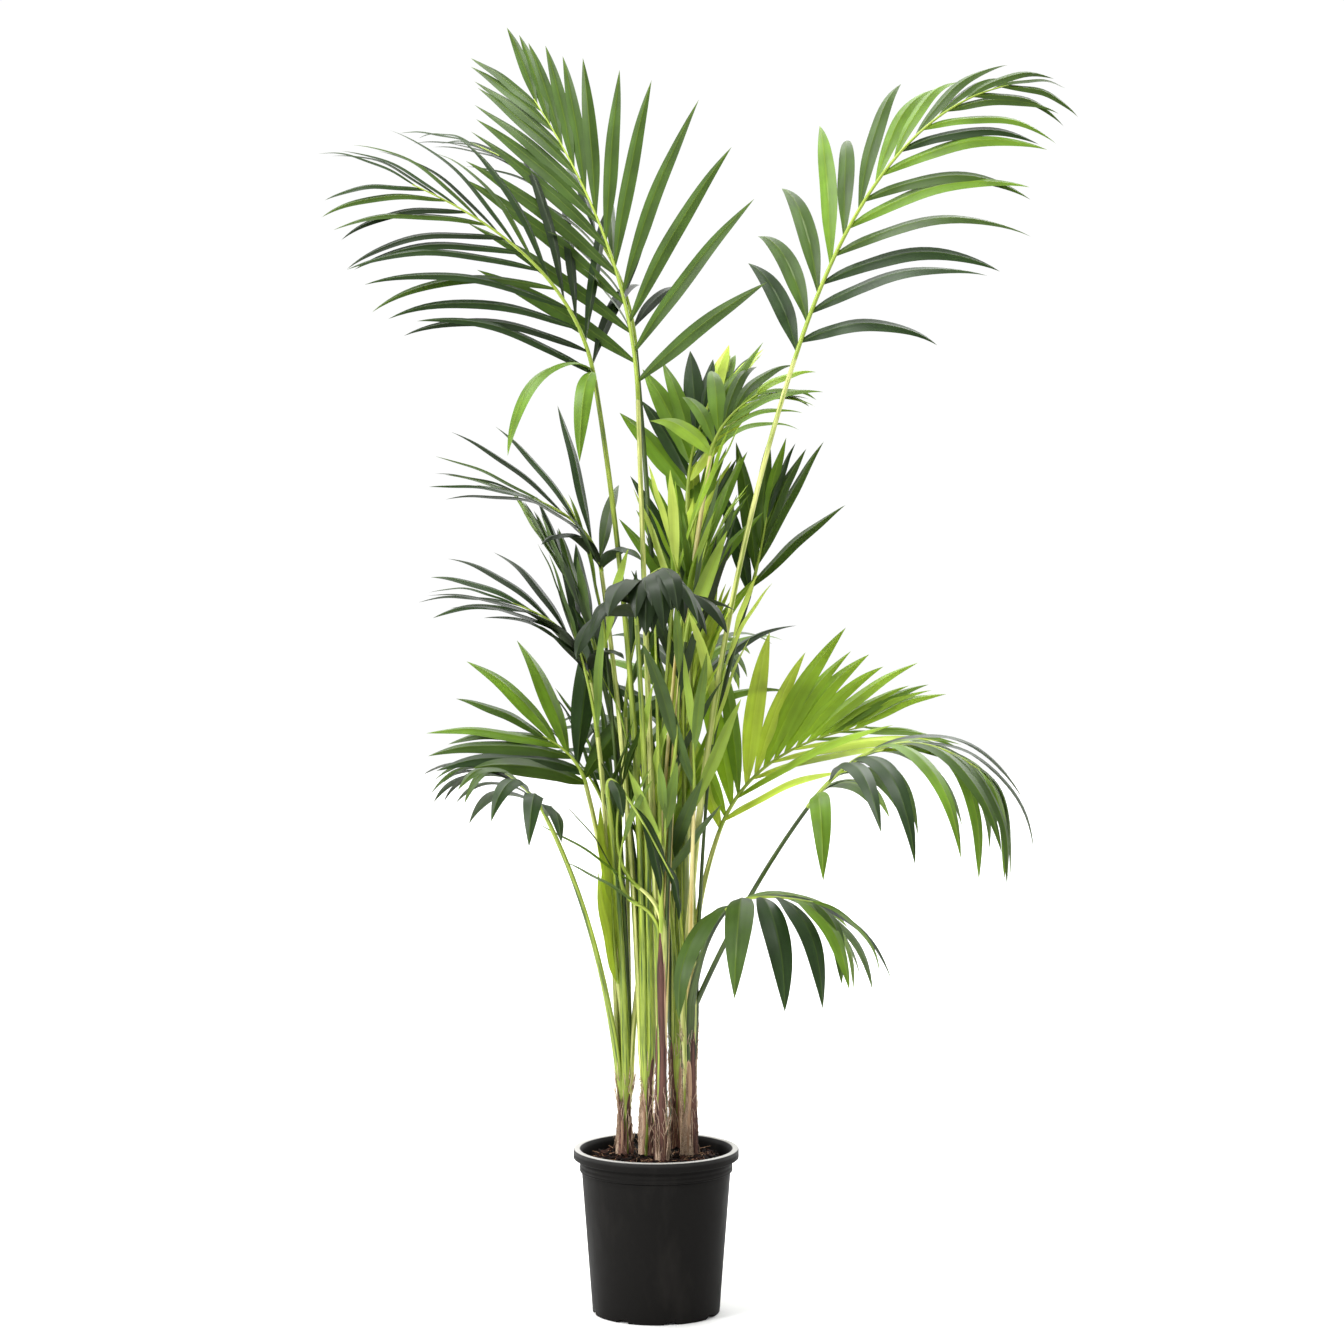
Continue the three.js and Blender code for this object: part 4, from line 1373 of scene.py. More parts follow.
        return Shape(
            points,
            flat,
            (quads[None] + starts).reshape(-1, 4)[:, ::-1],
            (ends[None] + starts).reshape(-1, 3)[:, ::-1],
            (2 * greens[:, None] + of_quads[None]).ravel(),
            (2 * greens[:, None] + of_ends[None]).ravel(),
        )

    def rib_shape(self, name: str) -> Shape:
        """Builds a frond's rib, a round rod that thins to its tip as a power of what is left of it.

        Args:
            name: the frond's name in the plan.

        Returns:
            The closed rod.
        """
        rib = LEAVES[name].rib()
        t = np.linspace(0.0, 1.0, self.rib_rows)
        radii = self.rib_tip + (PETIOLE_HEAD - self.rib_tip) * (1 - t) ** self.rib_taper
        return sweep(rib.point(t), *square_frame(rib.direction(t)), round_section(radii, self.rib_columns))

    def build(self) -> None:
        """Makes the pieces: leaflets in groups of fronds that fit in a piece, and all the ribs in one."""
        greens = leaf_materials()
        limbs = limb_points([*LEAVES.values(), *SPEARS.values()])
        per_leaflet = (2 * (self.steps - 1) + 2) * (2 * len(self.columns) - 2)
        groups: list[tuple[list[str], list[Shape], int]] = [([], [], 0)]
        for name in LEAVES:
            leaflets, tones = self.leaflets_of(name, limbs)
            triangles = per_leaflet * len(tones)
            if groups[-1][2] + triangles > self.triangles_a_piece:
                groups.append(([], [], 0))
            names, shapes, total = groups[-1]
            names += ["frond_" + name] if name in FRONDS else []
            shapes.append(self.blades(leaflets, tones))
            groups[-1] = (names, shapes, total + triangles)
        for number, (names, shapes, _) in enumerate(groups, 1):
            leaves = piece(f"leaflets_{number}", merged(shapes), greens)
            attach(leaves, "root")
            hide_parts(*names)
        rind = Rind("young_rib_rind", "#7f9a2e", "#b4c552", 0.38, 1.6, 0.2, 0.12)
        ribs = piece("ribs", merged([self.rib_shape(name) for name in LEAVES]), [rind.material()])
        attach(ribs, "root")


# Petioles, spears and stems


@dataclass
class Petioles:
    """The leaf stalks, each a channelled limb that runs down into its sheath, and the unopened leaves."""

    rows: int = 44
    crowding: float = 1.15  # the power that brings the rows closer together at the foot
    sheath_rows: int = 26
    columns: int = 20
    meets_mm: float = 3.0  # below the petiole's foot, where its sheath ends
    widens_below: float = 0.6  # the share of the petiole under which its foot is wider
    groove: float = 0.34  # depth of the channel along the inner face, as a share of the radius
    spear_foot: float = 3.8
    spear_head: float = 1.2
    spear_columns: int = 60
    pleats: int = 5
    pleat: float = 0.12  # their depth, as a share of the radius
    rng: np.random.Generator = field(default_factory=lambda: np.random.default_rng(SEED + 5))

    def section(self, depth: Array, half: Array) -> Array:
        """Gives flattened circles with a shallow channel on the side away from the first axis.

        The point at angle a is (depth cos a, half sin a), its first part shrunk by groove x (-cos a)^3 where
        cos a is negative.

        Args:
            depth: half the thickness at each row.
            half: half the width at each row.

        Returns:
            The sections, rows by columns by 2.
        """
        angle = np.linspace(0.0, 2 * np.pi, self.columns, endpoint=False)
        shrink = 1 - self.groove * np.clip(-np.cos(angle), 0.0, 1.0) ** 3
        return np.stack([depth[:, None] * np.cos(angle) * shrink, half[:, None] * np.sin(angle)], -1)

    def petiole(self, name: str) -> Shape:
        """Builds one petiole along its curve, with the sheath below it where it stands at a stem's side.

        The sheath's section eases into the foot of the petiole's, which is widest there.

        Args:
            name: the frond's name in the plan.

        Returns:
            The closed limb, from the soil or the stem's top up to the throat.
        """
        frond = LEAVES[name]
        curve = frond.petiole()
        t = np.linspace(0.0, 1.0, self.rows) ** self.crowding
        heading = frond.heading if frond.slot is None else frond.slot
        points = curve.point(t)
        outward, along = square_frame(curve.direction(t), heading)
        depth, half = foot_size(name)
        thin = depth * (1 - (1 - PETIOLE_HEAD / PETIOLE_FOOT) * t)
        wide = thin + (half - depth) * (1 - smooth(t / self.widens_below))
        if frond.slot is not None:
            stem = STEMS[frond.stem]
            z = np.linspace(MOUND_TOP - STALK_DEPTH, stem.top - self.meets_mm, self.sheath_rows)
            share = smooth((z - z[0]) / (z[-1] - z[0]))
            points = np.concatenate([stem.beside(heading, z, self.rng.uniform(0, 2 * np.pi)), points])
            outward = np.concatenate([np.tile(plan(heading), (len(z), 1)), outward])
            along = np.concatenate([np.tile(plan(heading + 90), (len(z), 1)), along])
            thin = np.concatenate([SHEATH_DEPTH + (depth - SHEATH_DEPTH) * share, thin])
            wide = np.concatenate([SHEATH_HALF + (half - SHEATH_HALF) * share, wide])
        return sweep(points, outward, along, self.section(thin, wide))

    def spear(self, spear: Frond) -> Shape:
        """Builds an unopened leaf, a rod whose pleats show as lengthwise waves.

        Args:
            spear: its plan.

        Returns:
            The closed rod.
        """
        curve = spear.petiole()
        t = np.linspace(0.0, 1.0, self.rows)
        radii = self.spear_foot + (self.spear_head - self.spear_foot) * t
        angle = np.linspace(0.0, 2 * np.pi, self.spear_columns, endpoint=False)
        waves = 1 + self.pleat * np.cos(self.pleats * angle)[None] * smooth(t * 3)[:, None]
        ring = round_section(radii, self.spear_columns) * waves[..., None]
        return sweep(curve.point(t), *square_frame(curve.direction(t)), ring)

    def build(self) -> None:
        """Makes one piece of the petioles and one of the spears."""
        skins = skin_materials()
        shapes = [self.petiole(name).finished(SKINS.index(skin_of(name))) for name in LEAVES]
        stalks = piece("petioles", merged(shapes), skins)
        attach(stalks, "root")
        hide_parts(*("petiole_" + name for name in FRONDS))
        pleated = Rind("pleated_spear_rind", "#7d9a2c", "#c3d15c", 0.4, 2.0, 0.3, 0.12)
        spears = piece("spears", merged([self.spear(s) for s in SPEARS.values()]), [pleated.material()])
        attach(spears, "root")
        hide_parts(*("spear_" + name for name in SPEARS))


@dataclass(frozen=True)
class DeadSheath:
    """A dry sheath that still stands against its stem."""

    stem: str
    heading: float
    height: float  # as a share of the stem's
    half: float  # half its width
    skin: Skin


DEAD_SHEATHS = (
    DeadSheath("left", 318, 0.95, 4.2, Skin.BROWN),
    DeadSheath("left", 246, 0.6, 3.4, Skin.TAN),
    DeadSheath("left", 95, 0.8, 4.0, Skin.BROWN),
    DeadSheath("inner", 312, 1.1, 4.4, Skin.BROWN),
    DeadSheath("inner", 236, 0.7, 3.6, Skin.TAN),
    DeadSheath("inner", 70, 0.9, 4.0, Skin.BROWN),
    DeadSheath("front", 268, 1.12, 5.6, Skin.BROWN),
    DeadSheath("front", 292, 1.05, 2.6, Skin.TAN),
    DeadSheath("front", 200, 0.7, 3.6, Skin.BROWN),
    DeadSheath("front", 60, 0.9, 4.4, Skin.TAN),
    DeadSheath("right", 262, 0.8, 4.4, Skin.TAN),
    DeadSheath("right", 300, 1.0, 5.4, Skin.BROWN),
    DeadSheath("right", 350, 0.6, 4.4, Skin.BROWN),
    DeadSheath("right", 80, 0.8, 4.2, Skin.TAN),
    DeadSheath("back", 232, 1.0, 4.6, Skin.BROWN),
    DeadSheath("back", 300, 0.8, 3.6, Skin.TAN),
    DeadSheath("back", 100, 0.9, 4.6, Skin.BROWN),
    DeadSheath("back", 20, 0.7, 4.0, Skin.TAN),
)


@dataclass
class Stems:
    """The stems inside the petioles' sheaths: cores, dead sheaths, and dry husks and fibres at the foot."""

    core_share: float = 0.85  # of the bundle's radius
    core_depth: float = 6.0  # in the soil
    core_stop: float = 2.0  # below the stem's top
    core_rows: int = 60
    core_columns: int = 28
    scar_mm: float = 0.5
    scar_pitch: float = 17.0
    dead_rows: int = 40
    dead_columns: int = 30
    dead_proud: float = 1.4  # that a dead sheath's middle stands out from the living ones
    dead_full: float = 0.7  # the share of its height over which it keeps its size
    dead_tip: float = 0.1  # the share of its size that is left at its top
    flutes: int = 9
    flute: float = 0.05  # their depth, as a share of the section
    warps: int = 4  # broader waves round the section
    warp: float = 0.02
    husks: int = 8
    husk_mm: float = 0.8
    husk_half: Range = (12, 34)  # half the angle that a husk spans, in degrees
    husk_height: Range = (0.3, 1.0)  # as a share of the highest on its stem
    husk_turn: Range = (-30, 30)  # degrees that a husk strays round its stem
    husk_lean: Range = (0.5, 3.0)
    husk_depth: float = 5.0  # in the soil
    husk_tuck: float = 0.6  # inside the outer faces of the sheaths
    husk_flare: float = 1.4  # at its foot
    husk_buckle: float = 0.5
    buckles: int = 7  # radians of the buckle over half a husk
    husk_first: float = 0.2  # that a stem's first husk stands out
    husk_step: float = 0.15  # that each husk stands out from the one before it
    torn_mean: float = 0.62  # of a husk's height is left where it is torn
    torn_depths: tuple[float, ...] = (0.24, 0.14, 0.09)  # of the tears, coarse to fine
    torn_beats: tuple[int, ...] = (3, 9, 29)  # radians of each over half a husk
    husk_rows: int = 20
    husk_columns: int = 36
    tan_share: float = 0.65  # of the husks; the others are brown
    fibres: int = 90
    fibre_low: float = 10.0  # the lowest start of a fibre over the soil
    fibre_long: Range = (12, 38)
    fibre_turn: Range = (-70, 70)  # degrees that it strays from its start
    fibre_out: Range = (2, 9)
    fibre_rise: tuple[float, ...] = (-0.4, 0.8, 1.0)  # of a fibre's length, where it hangs or stands
    fibre_mm: float = 0.6
    rng: np.random.Generator = field(default_factory=lambda: np.random.default_rng(SEED + 1))

    def core(self, stem: Stem) -> Shape:
        """Builds the stem under its sheaths, ringed by the scars of old leaves.

        Args:
            stem: the stem's plan.

        Returns:
            The closed rod, whose scars stand proud as the sixth power of a sine of the height.
        """
        z = np.linspace(MOUND_TOP - self.core_depth, stem.top - self.core_stop, self.core_rows)
        scars = self.scar_mm * np.abs(np.sin(np.pi * (z - z[0]) / self.scar_pitch)) ** 6
        centres = np.array([stem.x, stem.y, 0.0]) + z[:, None] * UP
        across, along = (np.tile(way, (self.core_rows, 1)) for way in np.eye(3)[:2])
        ring = round_section(self.core_share * stem.bundle(z) + scars, self.core_columns)
        return sweep(centres, across, along, ring)

    def dead_sheath(self, dead: DeadSheath) -> Shape:
        """Builds a dry sheath as a fluted stalk against the living ones, which shrinks to a torn point.

        Its section is a flattened circle with fine flutes, and shrinks by an eased share above dead_full.

        Args:
            dead: where it stands, how tall and how wide it is.

        Returns:
            The closed stalk.
        """
        stem = STEMS[dead.stem]
        top = MOUND_TOP + (stem.top - MOUND_TOP) * dead.height
        z = np.linspace(MOUND_TOP - STALK_DEPTH, top, self.dead_rows)
        share = (z - z[0]) / (z[-1] - z[0])
        phase = self.rng.uniform(0, 2 * np.pi)
        ray, beside = plan(dead.heading), plan(dead.heading + 90)
        middle = stem.beside(dead.heading, z, phase) + self.dead_proud * ray
        angle = np.linspace(0.0, 2 * np.pi, self.dead_columns, endpoint=False)
        fluted = 1 + self.flute * np.cos(self.flutes * angle) + self.warp * np.sin(self.warps * angle + phase)
        shrunk = smooth((share - self.dead_full) / (1 - self.dead_full))
        size = (1 - (1 - self.dead_tip) * shrunk)[:, None]
        thin, wide = SHEATH_DEPTH * size * np.cos(angle), dead.half * size * np.sin(angle)
        ring = np.stack([thin * fluted, wide * fluted], -1)
        return sweep(middle, np.tile(ray, (self.dead_rows, 1)), np.tile(beside, (self.dead_rows, 1)), ring)

    def husk(self, stem: Stem, heading: float, height: float, layer: float) -> Shape:
        """Builds a torn husk round a stem's foot.

        Its edge cuts the height by a sum of sines across it, and its wall buckles, flares at the foot and
        leans out with the cube of the height.

        Args:
            stem: the stem's plan.
            heading: the side of the stem, in degrees.
            height: its height before it is torn.
            layer: how far it stands out from the sheaths.

        Returns:
            The closed thin wall.
        """
        across = np.linspace(-1.0, 1.0, self.husk_columns)
        angle = heading + self.rng.uniform(*self.husk_half) * across
        phases = self.rng.uniform(0, 2 * np.pi, 3)
        torn = np.full(self.husk_columns, self.torn_mean)
        for depth, beat, phase in zip(self.torn_depths, self.torn_beats, phases):
            torn = torn + depth * np.sin(beat * across + phase)
        share = np.linspace(0.0, 1.0, self.husk_rows)[:, None]
        z = MOUND_TOP - self.husk_depth + height * share * torn[None]
        lean = self.rng.uniform(*self.husk_lean) * share**3
        buckle = self.husk_buckle * np.sin(self.buckles * across + phases[2])[None] * share
        radius = stem.bundle(z) + SHEATH_DEPTH - self.husk_tuck + layer
        radius = radius + lean + buckle + self.husk_flare * (1 - share) ** 2
        ray = plan(angle)[None]
        outer = np.array([stem.x, stem.y, 0.0]) + ray * radius[..., None]
        outer[..., 2] = z
        return shell(outer, outer - ray * self.husk_mm)

    def fibre(self, name: str) -> Shape:
        """Builds one loose fibre, a hair along a curve that springs off a husk's edge.

        Args:
            name: the stem's name in the plan.

        Returns:
            The closed hair.
        """
        stem = STEMS[name]
        heading = self.rng.uniform(0, 360)
        z = MOUND_TOP + self.rng.uniform(self.fibre_low, HUSK_TOPS[name])
        start = np.array([stem.x, stem.y, z]) + plan(heading) * (float(stem.bundle(z)) + SHEATH_DEPTH)
        length = self.rng.uniform(*self.fibre_long)
        end = start + plan(heading + self.rng.uniform(*self.fibre_turn)) * self.rng.uniform(*self.fibre_out)
        end = end + UP * length * self.rng.choice(self.fibre_rise)
        curve = Bend(start, unit(UP + 0.4 * plan(heading)), end, 0.5)
        t = np.linspace(0.0, 1.0, 7)
        ring = round_section(self.fibre_mm * (1 - 0.7 * t), 4)
        return sweep(curve.point(t), *square_frame(curve.direction(t)), ring)

    def build(self) -> None:
        """Makes the cores, the dead sheaths, the husks and the fibres, each kind one piece."""
        old = Rind("old_sheath_bark", "#2f2019", "#6d4c36", 0.8, 2.4, 0.9)
        cores = piece("stem_cores", merged([self.core(stem) for stem in STEMS.values()]), [old.material()])
        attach(cores, "root")
        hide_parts(*("stem_" + name for name in STEMS))
        shapes = [self.dead_sheath(dead).finished(SKINS.index(dead.skin)) for dead in DEAD_SHEATHS]
        clasping = piece("dead_sheaths", merged(shapes), skin_materials())
        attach(clasping, "root")
        tan = Rind("tan_husk", "#5a3826", "#f4d8ba", 0.85, 3.2, 1.6, 0.0, 0.22)
        brown = Rind("brown_husk", "#22130f", "#9c7160", 0.85, 3.2, 1.6, 0.0, 0.22)
        torn: dict[str, list[Shape]] = {"tan_husks": [], "brown_husks": []}
        for name, stem in STEMS.items():
            for number in range(self.husks):
                heading = 360 * number / self.husks + self.rng.uniform(*self.husk_turn)
                height = HUSK_TOPS[name] * self.rng.uniform(*self.husk_height)
                kind = "tan_husks" if self.rng.random() < self.tan_share else "brown_husks"
                layer = self.husk_first + self.husk_step * number
                torn[kind].append(self.husk(stem, heading, height, layer))
        for title, finish in (("tan_husks", tan), ("brown_husks", brown)):
            husks = piece(title, merged(torn[title]), [finish.material()])
            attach(husks, "root")
        hairs = [self.fibre(name) for name in STEMS for _ in range(self.fibres)]
        loose = piece("sheath_fibres", merged(hairs), [tan.material()])
        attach(loose, "root")


# Pot and soil


def arc(centre: tuple[float, float], radius: float, start: float, end: float, count: int) -> Array:
    """Gives points of a circle's arc between two angles in degrees."""
    angle = np.radians(np.linspace(start, end, count))
    return np.stack([centre[0] + radius * np.cos(angle), centre[1] + radius * np.sin(angle)], -1)


@dataclass(frozen=True)
class NurseryPot:
    """The pot: a tapering wall with a banded collar, a turned-down rim and drain notches through its foot."""

    height: float = 240.0
    rim: float = 120.0
    lip: float = 14.0
    rim_flat: float = 5.0
    rim_dip: float = 5.0
    collar: float = 111.0
    collar_depth: float = 34.0
    collar_step: float = 3.0
    foot: float = 92.5
    wall: float = 2.5
    chamfer: float = 2.0
    floor: float = 7.0
    recess: float = 4.0
    pad: float = 28.0
    foot_ring: float = 20.0
    notches: int = 8
    first_notch: float = 13.5
    notch_width: float = 16.0
    notch_height: float = 4.6
    sides: int = 256
    bands: int = 3  # faint rings round the collar
    band_mm: float = 0.22
    roundings: tuple[float, ...] = (1.0, 1.4, 1.2, 1.1, 2.2, 3.0)  # of its edges, from the neck over the lip

    def inner(self, z: float) -> float:
        """Gives the inside radius of the pot.

        Args:
            z: the height.

        Returns:
            The radius, which tapers to the neck and stays as wide as it above.
        """
        neck = self.collar - self.collar_step
        taper = self.foot + (neck - self.foot) * z / (self.height - self.collar_depth)
        return min(neck, taper) - self.wall

    def profile(self) -> Array:
        """Gives the pot's section.

        Returns:
            Radius and height pairs, from the middle of the underside round to the middle of the inside floor.
        """
        neck, base = self.collar - self.collar_step, self.height - self.collar_depth
        lip = self.height - self.lip
        inner_foot = self.foot - self.foot_ring
        c = self.chamfer
        at_neck, at_collar, under_lip, at_hem, over_lip, inside = self.roundings
        share = np.linspace(0.0, 1.0, 24)[1:-1]
        side = np.stack([self.foot + (neck - self.foot) * share, c + (base - c) * share], -1)
        band_z = np.linspace(base + 3.5, lip - 2.0, 40)
        waves = np.cos(2 * np.pi * self.bands * (band_z - base) / (lip - base))
        band_r = self.collar + self.band_mm * (waves - 1)
        parts = [
            [[0.0, 0.0], [self.pad, 0.0], [self.pad + self.recess, self.recess]],
            [[inner_foot - c, self.recess], [inner_foot, 0.0]],
            arc((self.foot - c, c), c, -90, 0, 6),
            side,
            arc((neck - at_neck, base), at_neck, 0, 60, 4),
            arc((self.collar - at_collar, base + 2.6), at_collar, -50, 0, 5),
            np.stack([band_r, band_z], -1),
            arc((self.collar + under_lip, lip - under_lip), under_lip, 180, 90, 4),
            arc((self.rim - at_hem, lip + at_hem), at_hem, -90, 0, 5),
            [[self.rim, lip + 0.5 * self.lip]],
            arc((self.rim - over_lip, self.height - over_lip), over_lip, 0, 90, 8),
            arc((self.rim - self.rim_flat - 2.6, self.height - inside), inside, 90, 165, 7),
            [[self.inner(self.height), self.height - self.rim_dip - 3.0]],
            [[self.inner(base), base], [self.inner(self.floor + 3), self.floor + 3]],
            [[self.inner(self.floor) - 3, self.floor], [0.0, self.floor]],
        ]
        return np.concatenate([np.array(part, float) for part in parts])

    def build(self) -> None:
        """Makes the pot, its foot ring lifted over each drain notch by an eased edge of 2 mm."""
        profile = self.profile()
        angle = np.linspace(0.0, 360.0, self.sides, endpoint=False)
        pitch = 360.0 / self.notches
        apart = (angle - self.first_notch + pitch / 2) % pitch - pitch / 2
        across = np.abs(np.radians(apart)) * self.foot
        open_here = 1 - smooth((across - self.notch_width / 2 + 1) / 2)
        rim = profile[1:-1]
        on_foot = (rim[:, 0] > self.foot - self.foot_ring - 3) & (rim[:, 1] < self.notch_height)
        lift = np.where(on_foot, self.notch_height - rim[:, 1], 0.0)[:, None] * open_here[None]
        made = piece("nursery_pot", revolved(profile, self.sides, lift), [PotPlastic().material()])
        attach(made, "root")
        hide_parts("pot")


@dataclass
class PottingMix:
    """The soil: a crumbly plug with chips of bark and shreds of wood fibre strewn on it."""

    pot: NurseryPot
    edge: float = 221.0  # the soil's height at the pot's wall
    mound: float = 78.0  # the radius of its level middle
    settled: float = 1.5  # that the mean height lies below the mound's top
    gap: float = 0.6  # to the wall
    relief_mm: float = 2.6
    lump_mm: tuple[float, ...] = (31.0, 14.0, 7.0, 4.2)
    lump_shares: tuple[float, ...] = (0.4, 0.3, 0.22, 0.16)  # of the relief, for each size of lump
    waves: int = 5  # for each size of lump
    rows: int = 70
    columns: int = 220
    dark_chips: int = 520
    red_chips: int = 260
    chip_form: tuple[float, float, float] = (0.5, 0.32, 0.16)  # half a flake's sides, as shares of its length
    chip_worn: Range = (0.55, 1.0)  # the shares of them at which its corners lie
    chip_tilt: float = 0.45  # radians
    chip_raised: Range = (-0.5, 2.2)
    strewn_edge: float = 7.0  # of the places of chips and shreds, clear of the wall
    pale_shreds: int = 130
    shred_mm: float = 0.7
    shred_long: Range = (6, 17)
    shred_raised: Range = (1.0, 3.0)
    shred_rise: Range = (0.0, 0.25)  # as a slope
    shred_stray: float = 3.0
    shred_edge: float = 4.0  # of a shred's end, clear of the wall
    rng: np.random.Generator = field(default_factory=lambda: np.random.default_rng(SEED + 2))

    def height(self, radius: Array) -> Array:
        """Gives the mean height of the soil at a radius: level in the middle, sloping to the pot's wall."""
        slope = np.clip((radius - self.mound) / (self.pot.inner(self.edge) - self.mound), 0, 1)
        return MOUND_TOP - self.settled - (MOUND_TOP - self.edge) * slope

    def lumps(self, x: Array, y: Array) -> Array:
        """Gives a crumbly relief, as a sum of sines in seeded directions and phases.

        Args:
            x: places across the soil.
            y: places along it.

        Returns:
            The relief at them, mostly between -1 and 1.
        """
        total = np.zeros_like(x)
        for size, weight in zip(self.lump_mm, self.lump_shares):
            for _ in range(self.waves):
                turn, phase = self.rng.uniform(0, 2 * np.pi, 2)
                total += weight * np.sin(2 * np.pi * (x * np.cos(turn) + y * np.sin(turn)) / size + phase) / 2
        return total

    def plug(self) -> Shape:
        """Builds the soil as a turned body whose top is lifted by the lumps.

        Returns:
            The closed body, clear of the pot's wall.
        """
        low, base = self.pot.floor + 1.0, self.pot.height - self.pot.collar_depth
        foot = [[0.0, low], [self.pot.inner(low) - self.gap, low], [self.pot.inner(base) - self.gap, base]]
        radii = np.linspace(self.pot.inner(self.edge) - self.gap, 0.0, self.rows)
        profile = np.concatenate([foot, np.stack([radii, self.height(radii)], -1)])
        angle = np.linspace(0.0, 2 * np.pi, self.columns, endpoint=False)
        rim = profile[1:-1]
        relief_here = self.relief_mm * self.lumps(rim[:, :1] * np.cos(angle), rim[:, :1] * np.sin(angle))
        on_top = (np.arange(len(rim)) >= 2)[:, None]
        return revolved(profile, self.columns, np.where(on_top, relief_here, 0.0))

    def strewn(self, count: int) -> Array:
        """Draws places on the soil outside the stems.

        Args:
            count: how many.

        Returns:
            The places, count by 3.
        """
        places: list[Array] = []
        while len(places) < count:
            radius = (self.pot.inner(self.edge) - self.strewn_edge) * np.sqrt(self.rng.random())
            spot = plan(self.rng.uniform(0, 360)) * radius
            if all(np.hypot(spot[0] - s.x, spot[1] - s.y) > s.foot + 1 for s in STEMS.values()):
                places.append(spot + UP * self.height(np.array(radius)))
        return np.array(places)

    def chips(self, count: int, small: float, large: float) -> Shape:
        """Builds flakes of bark: boxes whose eight corners are moved at random, turned every way.

        Args:
            count: how many.
            small: the least length of a flake.
            large: the greatest.

        Returns:
            The flakes in one shape.
        """
        corners = np.array([[x, y, z] for z in (-1, 1) for y in (-1, 1) for x in (-1, 1)], float)
        faces = np.array([[0, 2, 3, 1], [4, 5, 7, 6], [0, 1, 5, 4], [2, 6, 7, 3], [0, 4, 6, 2], [1, 3, 7, 5]])
        size = self.rng.uniform(small, large, (count, 1, 1)) * np.array(self.chip_form)
        boxes = corners[None] * size * self.rng.uniform(*self.chip_worn, (count, 8, 3))
        turn = self.rng.uniform(0, 2 * np.pi, count)
        tilt, roll = self.rng.normal(0, self.chip_tilt, (2, count))
        for first, second, angle in ((1, 2, roll), (0, 2, tilt), (0, 1, turn)):
            c, s = np.cos(angle)[:, None], np.sin(angle)[:, None]
            a, b = boxes[..., first].copy(), boxes[..., second].copy()
            boxes[..., first], boxes[..., second] = a * c - b * s, a * s + b * c
        raised = self.rng.uniform(*self.chip_raised, count)[:, None] * UP
        points = (boxes + (self.strewn(count) + raised)[:, None]).reshape(-1, 3)
        quads = (faces[None] + (np.arange(count) * 8)[:, None, None]).reshape(-1, 4)
        return Shape(points, points[:, :2], quads)

    def shreds(self, count: int) -> Shape:
        """Builds curved shreds of pale wood fibre, flat rods that lie on the soil.

        Args:
            count: how many.

        Returns:
            The shreds in one shape.
        """
        made = []
        for spot in self.strewn(count):
            start = spot + UP * self.rng.uniform(*self.shred_raised)
            way = unit(plan(self.rng.uniform(0, 360)) + UP * self.rng.uniform(*self.shred_rise))
            end = start + way * self.rng.uniform(*self.shred_long)
            end = end + plan(self.rng.uniform(0, 360)) * self.shred_stray
            if np.hypot(end[0], end[1]) > self.pot.inner(self.edge) - self.shred_edge:
                end = start + (start - end) * np.array([1, 1, -1])
            t = np.linspace(0.0, 1.0, 6)
            curve = Bend(start, unit(end - start + 2 * UP), end, 0.5)
            ring = round_section(self.shred_mm * (1 - 0.5 * t), 5) * np.array([1.0, 0.5])
            made.append(sweep(curve.point(t), *square_frame(curve.direction(t)), ring))
        return merged(made)

    def build(self) -> None:
        """Makes the soil's body and what lies on it."""
        peat = Grit("moist_peat", "#030201", "#150d09", 5.0, 2.2)
        dark = Grit("dark_bark", "#060403", "#20140f", 3.0, 0.8)
        red = Grit("red_bark", "#160c09", "#4c2f24", 3.0, 0.8)
        pale = Grit("wood_fibre", "#85634a", "#bd9877", 2.5, 0.4)
        body = piece("potting_soil", self.plug(), [peat.material()])
        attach(body, "root")
        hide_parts("soil")
        strewn = (
            ("dark_bark_chips", self.chips(self.dark_chips, 4.0, 13.0), dark, False),
            ("red_bark_chips", self.chips(self.red_chips, 4.0, 14.0), red, False),
            ("fibre_shreds", self.shreds(self.pale_shreds), pale, True),
        )
        for title, shape, finish, rounded in strewn:
            loose = piece(title, shape, [finish.material()], rounded)
            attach(loose, "root")


# The studio


@dataclass(frozen=True)
class AreaLamp:
    """A soft square lamp, its place and aim in metres, its side in metres and its power in watts."""

    name: str
    place: tuple[float, float, float]
    aim: tuple[float, float, float]
    side: float
    power: float

    def build(self) -> None:
        """Makes the lamp."""
        light = bpy.data.lights.new(self.name, "AREA")
        light.shape = "SQUARE"
        light.size = self.side
        light.energy = self.power
        lamp = bpy.data.objects.new(self.name, light)
        lamp.location = self.place
        lamp.rotation_euler = aimed(np.array(self.aim) - np.array(self.place))
        bpy.context.scene.collection.objects.link(lamp)


def aimed(way: Array) -> tuple[float, float, float]:
    """Gives the rotation that turns a camera or lamp, which look along -Z, to a direction with +Z kept up."""
    x, y, z = unit(way)
    return (float(np.arccos(-z)), 0.0, float(np.arctan2(y, x) - np.pi / 2))


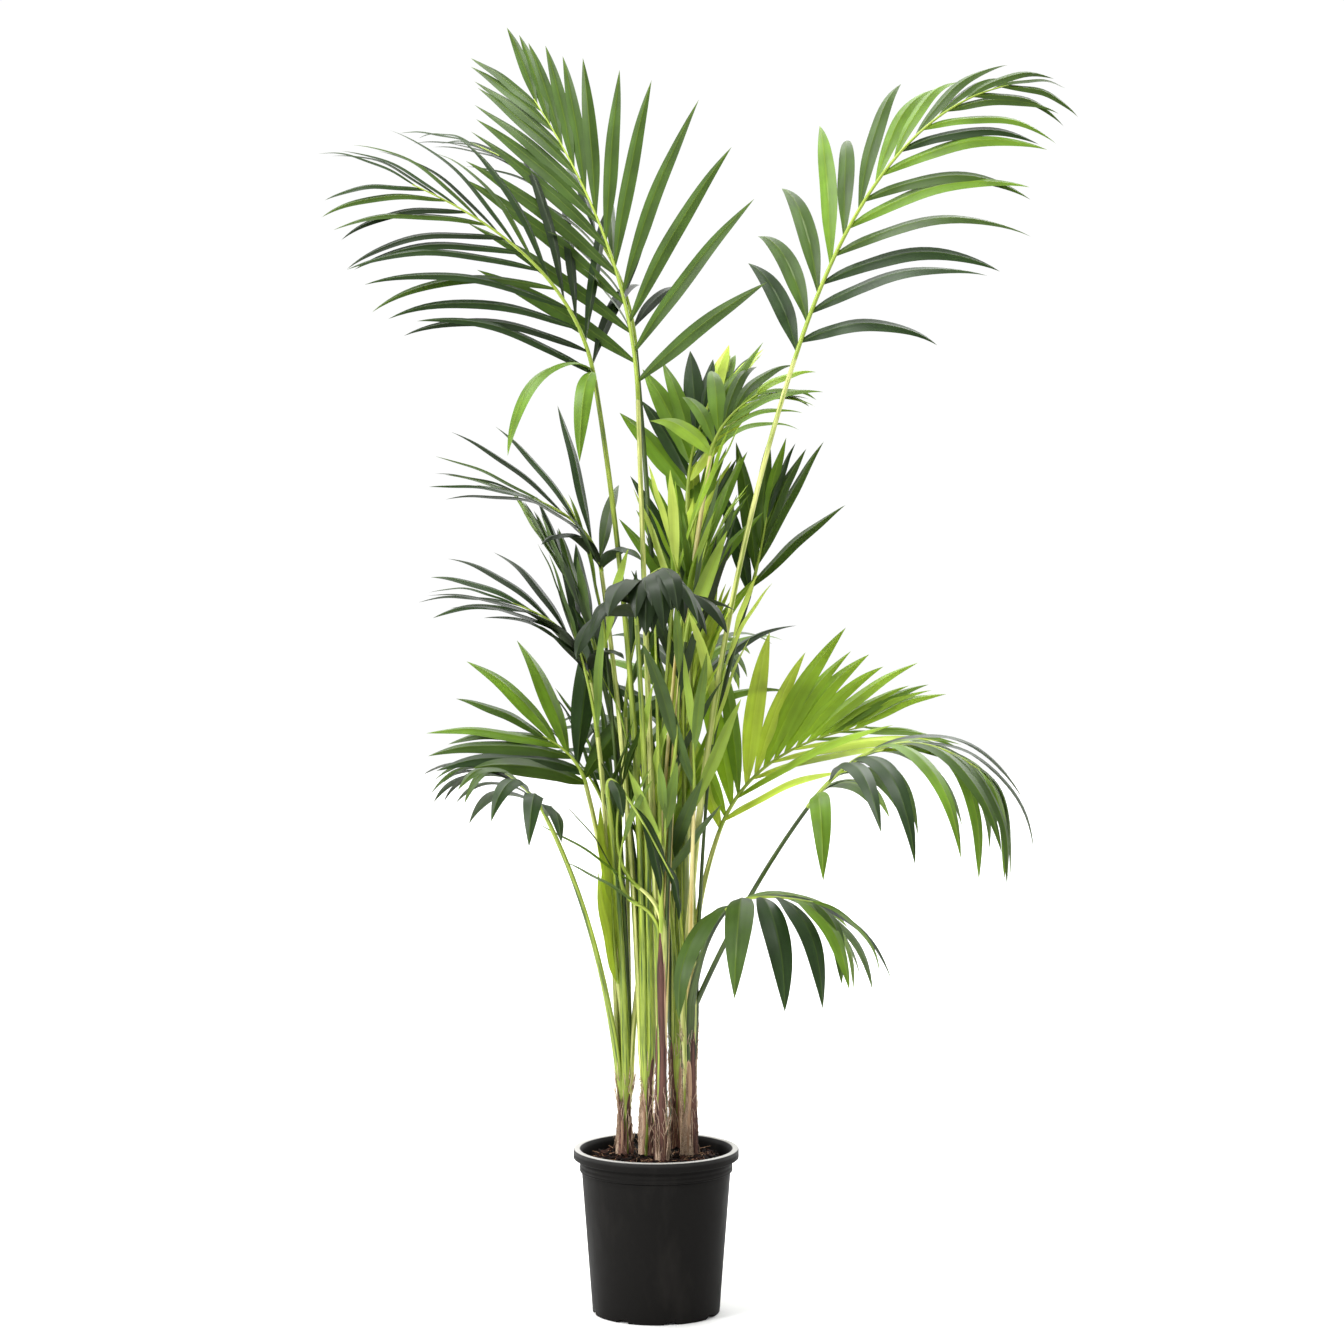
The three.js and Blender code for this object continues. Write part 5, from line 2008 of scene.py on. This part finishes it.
@dataclass(frozen=True)
class Studio:
    """A pale floor under a white surround, soft lamps and the camera at the photograph's angle."""

    floor_mm: float = 8000.0  # its radius
    floor_thick: float = 40.0
    floor_colour: str = "#fafaf9"
    wall: float = 1.02  # brightness of the surround behind the plant
    room: float = 0.74  # and before it
    fade: Range = (-0.45, 0.45)  # how far before and behind the middle the one turns into the other
    eye_mm: tuple[float, float, float] = (23.0, -5500.0, 1330.0)
    look_down: float = 4.142  # degrees
    lens: float = 102.73
    lamps: tuple[AreaLamp, ...] = (
        AreaLamp("overhead_softbox", (-1.2, -0.2, 4.2), (0.0, 0.0, 1.0), 1.5, 130.0),
        AreaLamp("back_softbox", (1.6, 3.0, 2.6), (0.0, 0.0, 1.1), 2.0, 40.0),
        AreaLamp("front_softbox", (-3.2, -2.6, 2.4), (0.0, 0.0, 0.8), 1.2, 150.0),
        AreaLamp("floor_wash", (0.0, 5.2, 4.6), (0.0, 5.2, 0.0), 6.0, 330.0),
    )

    def build(self) -> None:
        """Makes the floor, the surround, the lamps and the camera."""
        low, far = -self.floor_thick, self.floor_mm
        material, tree = new_material("matt_white_paint")
        surface(tree, {"Base Color": linear(self.floor_colour), "Roughness": 0.9})
        slab = revolved(np.array([[0.0, low], [far, low], [far, 0.0], [0.0, 0.0]]), 96)
        floor = piece("floor", slab, [material], rounded=False)
        world = bpy.data.worlds.new("white_surround")
        world.use_nodes = True
        tree = world.node_tree
        back = add_node(tree, "SeparateXYZ", links={0: coordinates(tree, "Generated")}).outputs["Y"]
        background = tree.nodes["Background"]
        background.inputs["Color"].default_value = (1.0, 1.0, 1.0, 1.0)
        tree.links.new(ramp(tree, back, *self.fade, self.room, self.wall), background.inputs["Strength"])
        scene = bpy.context.scene
        scene.world = world
        scene.view_settings.view_transform = "Standard"
        for lamp in self.lamps:
            lamp.build()
        camera = bpy.data.cameras.new("camera")
        camera.lens = self.lens
        camera.sensor_width = 36.0
        camera.clip_end = 60.0
        eye = bpy.data.objects.new("camera", camera)
        eye.location = np.array(self.eye_mm) * MM
        eye.rotation_euler = (np.radians(90.0 - self.look_down), 0.0, 0.0)
        scene.collection.objects.link(eye)
        scene.camera = eye


def main() -> None:
    """Builds the palm around its frame, in order."""
    logging.basicConfig(level=logging.INFO, format="%(name)s %(message)s")
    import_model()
    Studio().build()
    pot = NurseryPot()
    pot.build()
    PottingMix(pot).build()
    Stems().build()
    Petioles().build()
    Crown().build()


if __name__ == "__main__":
    main()
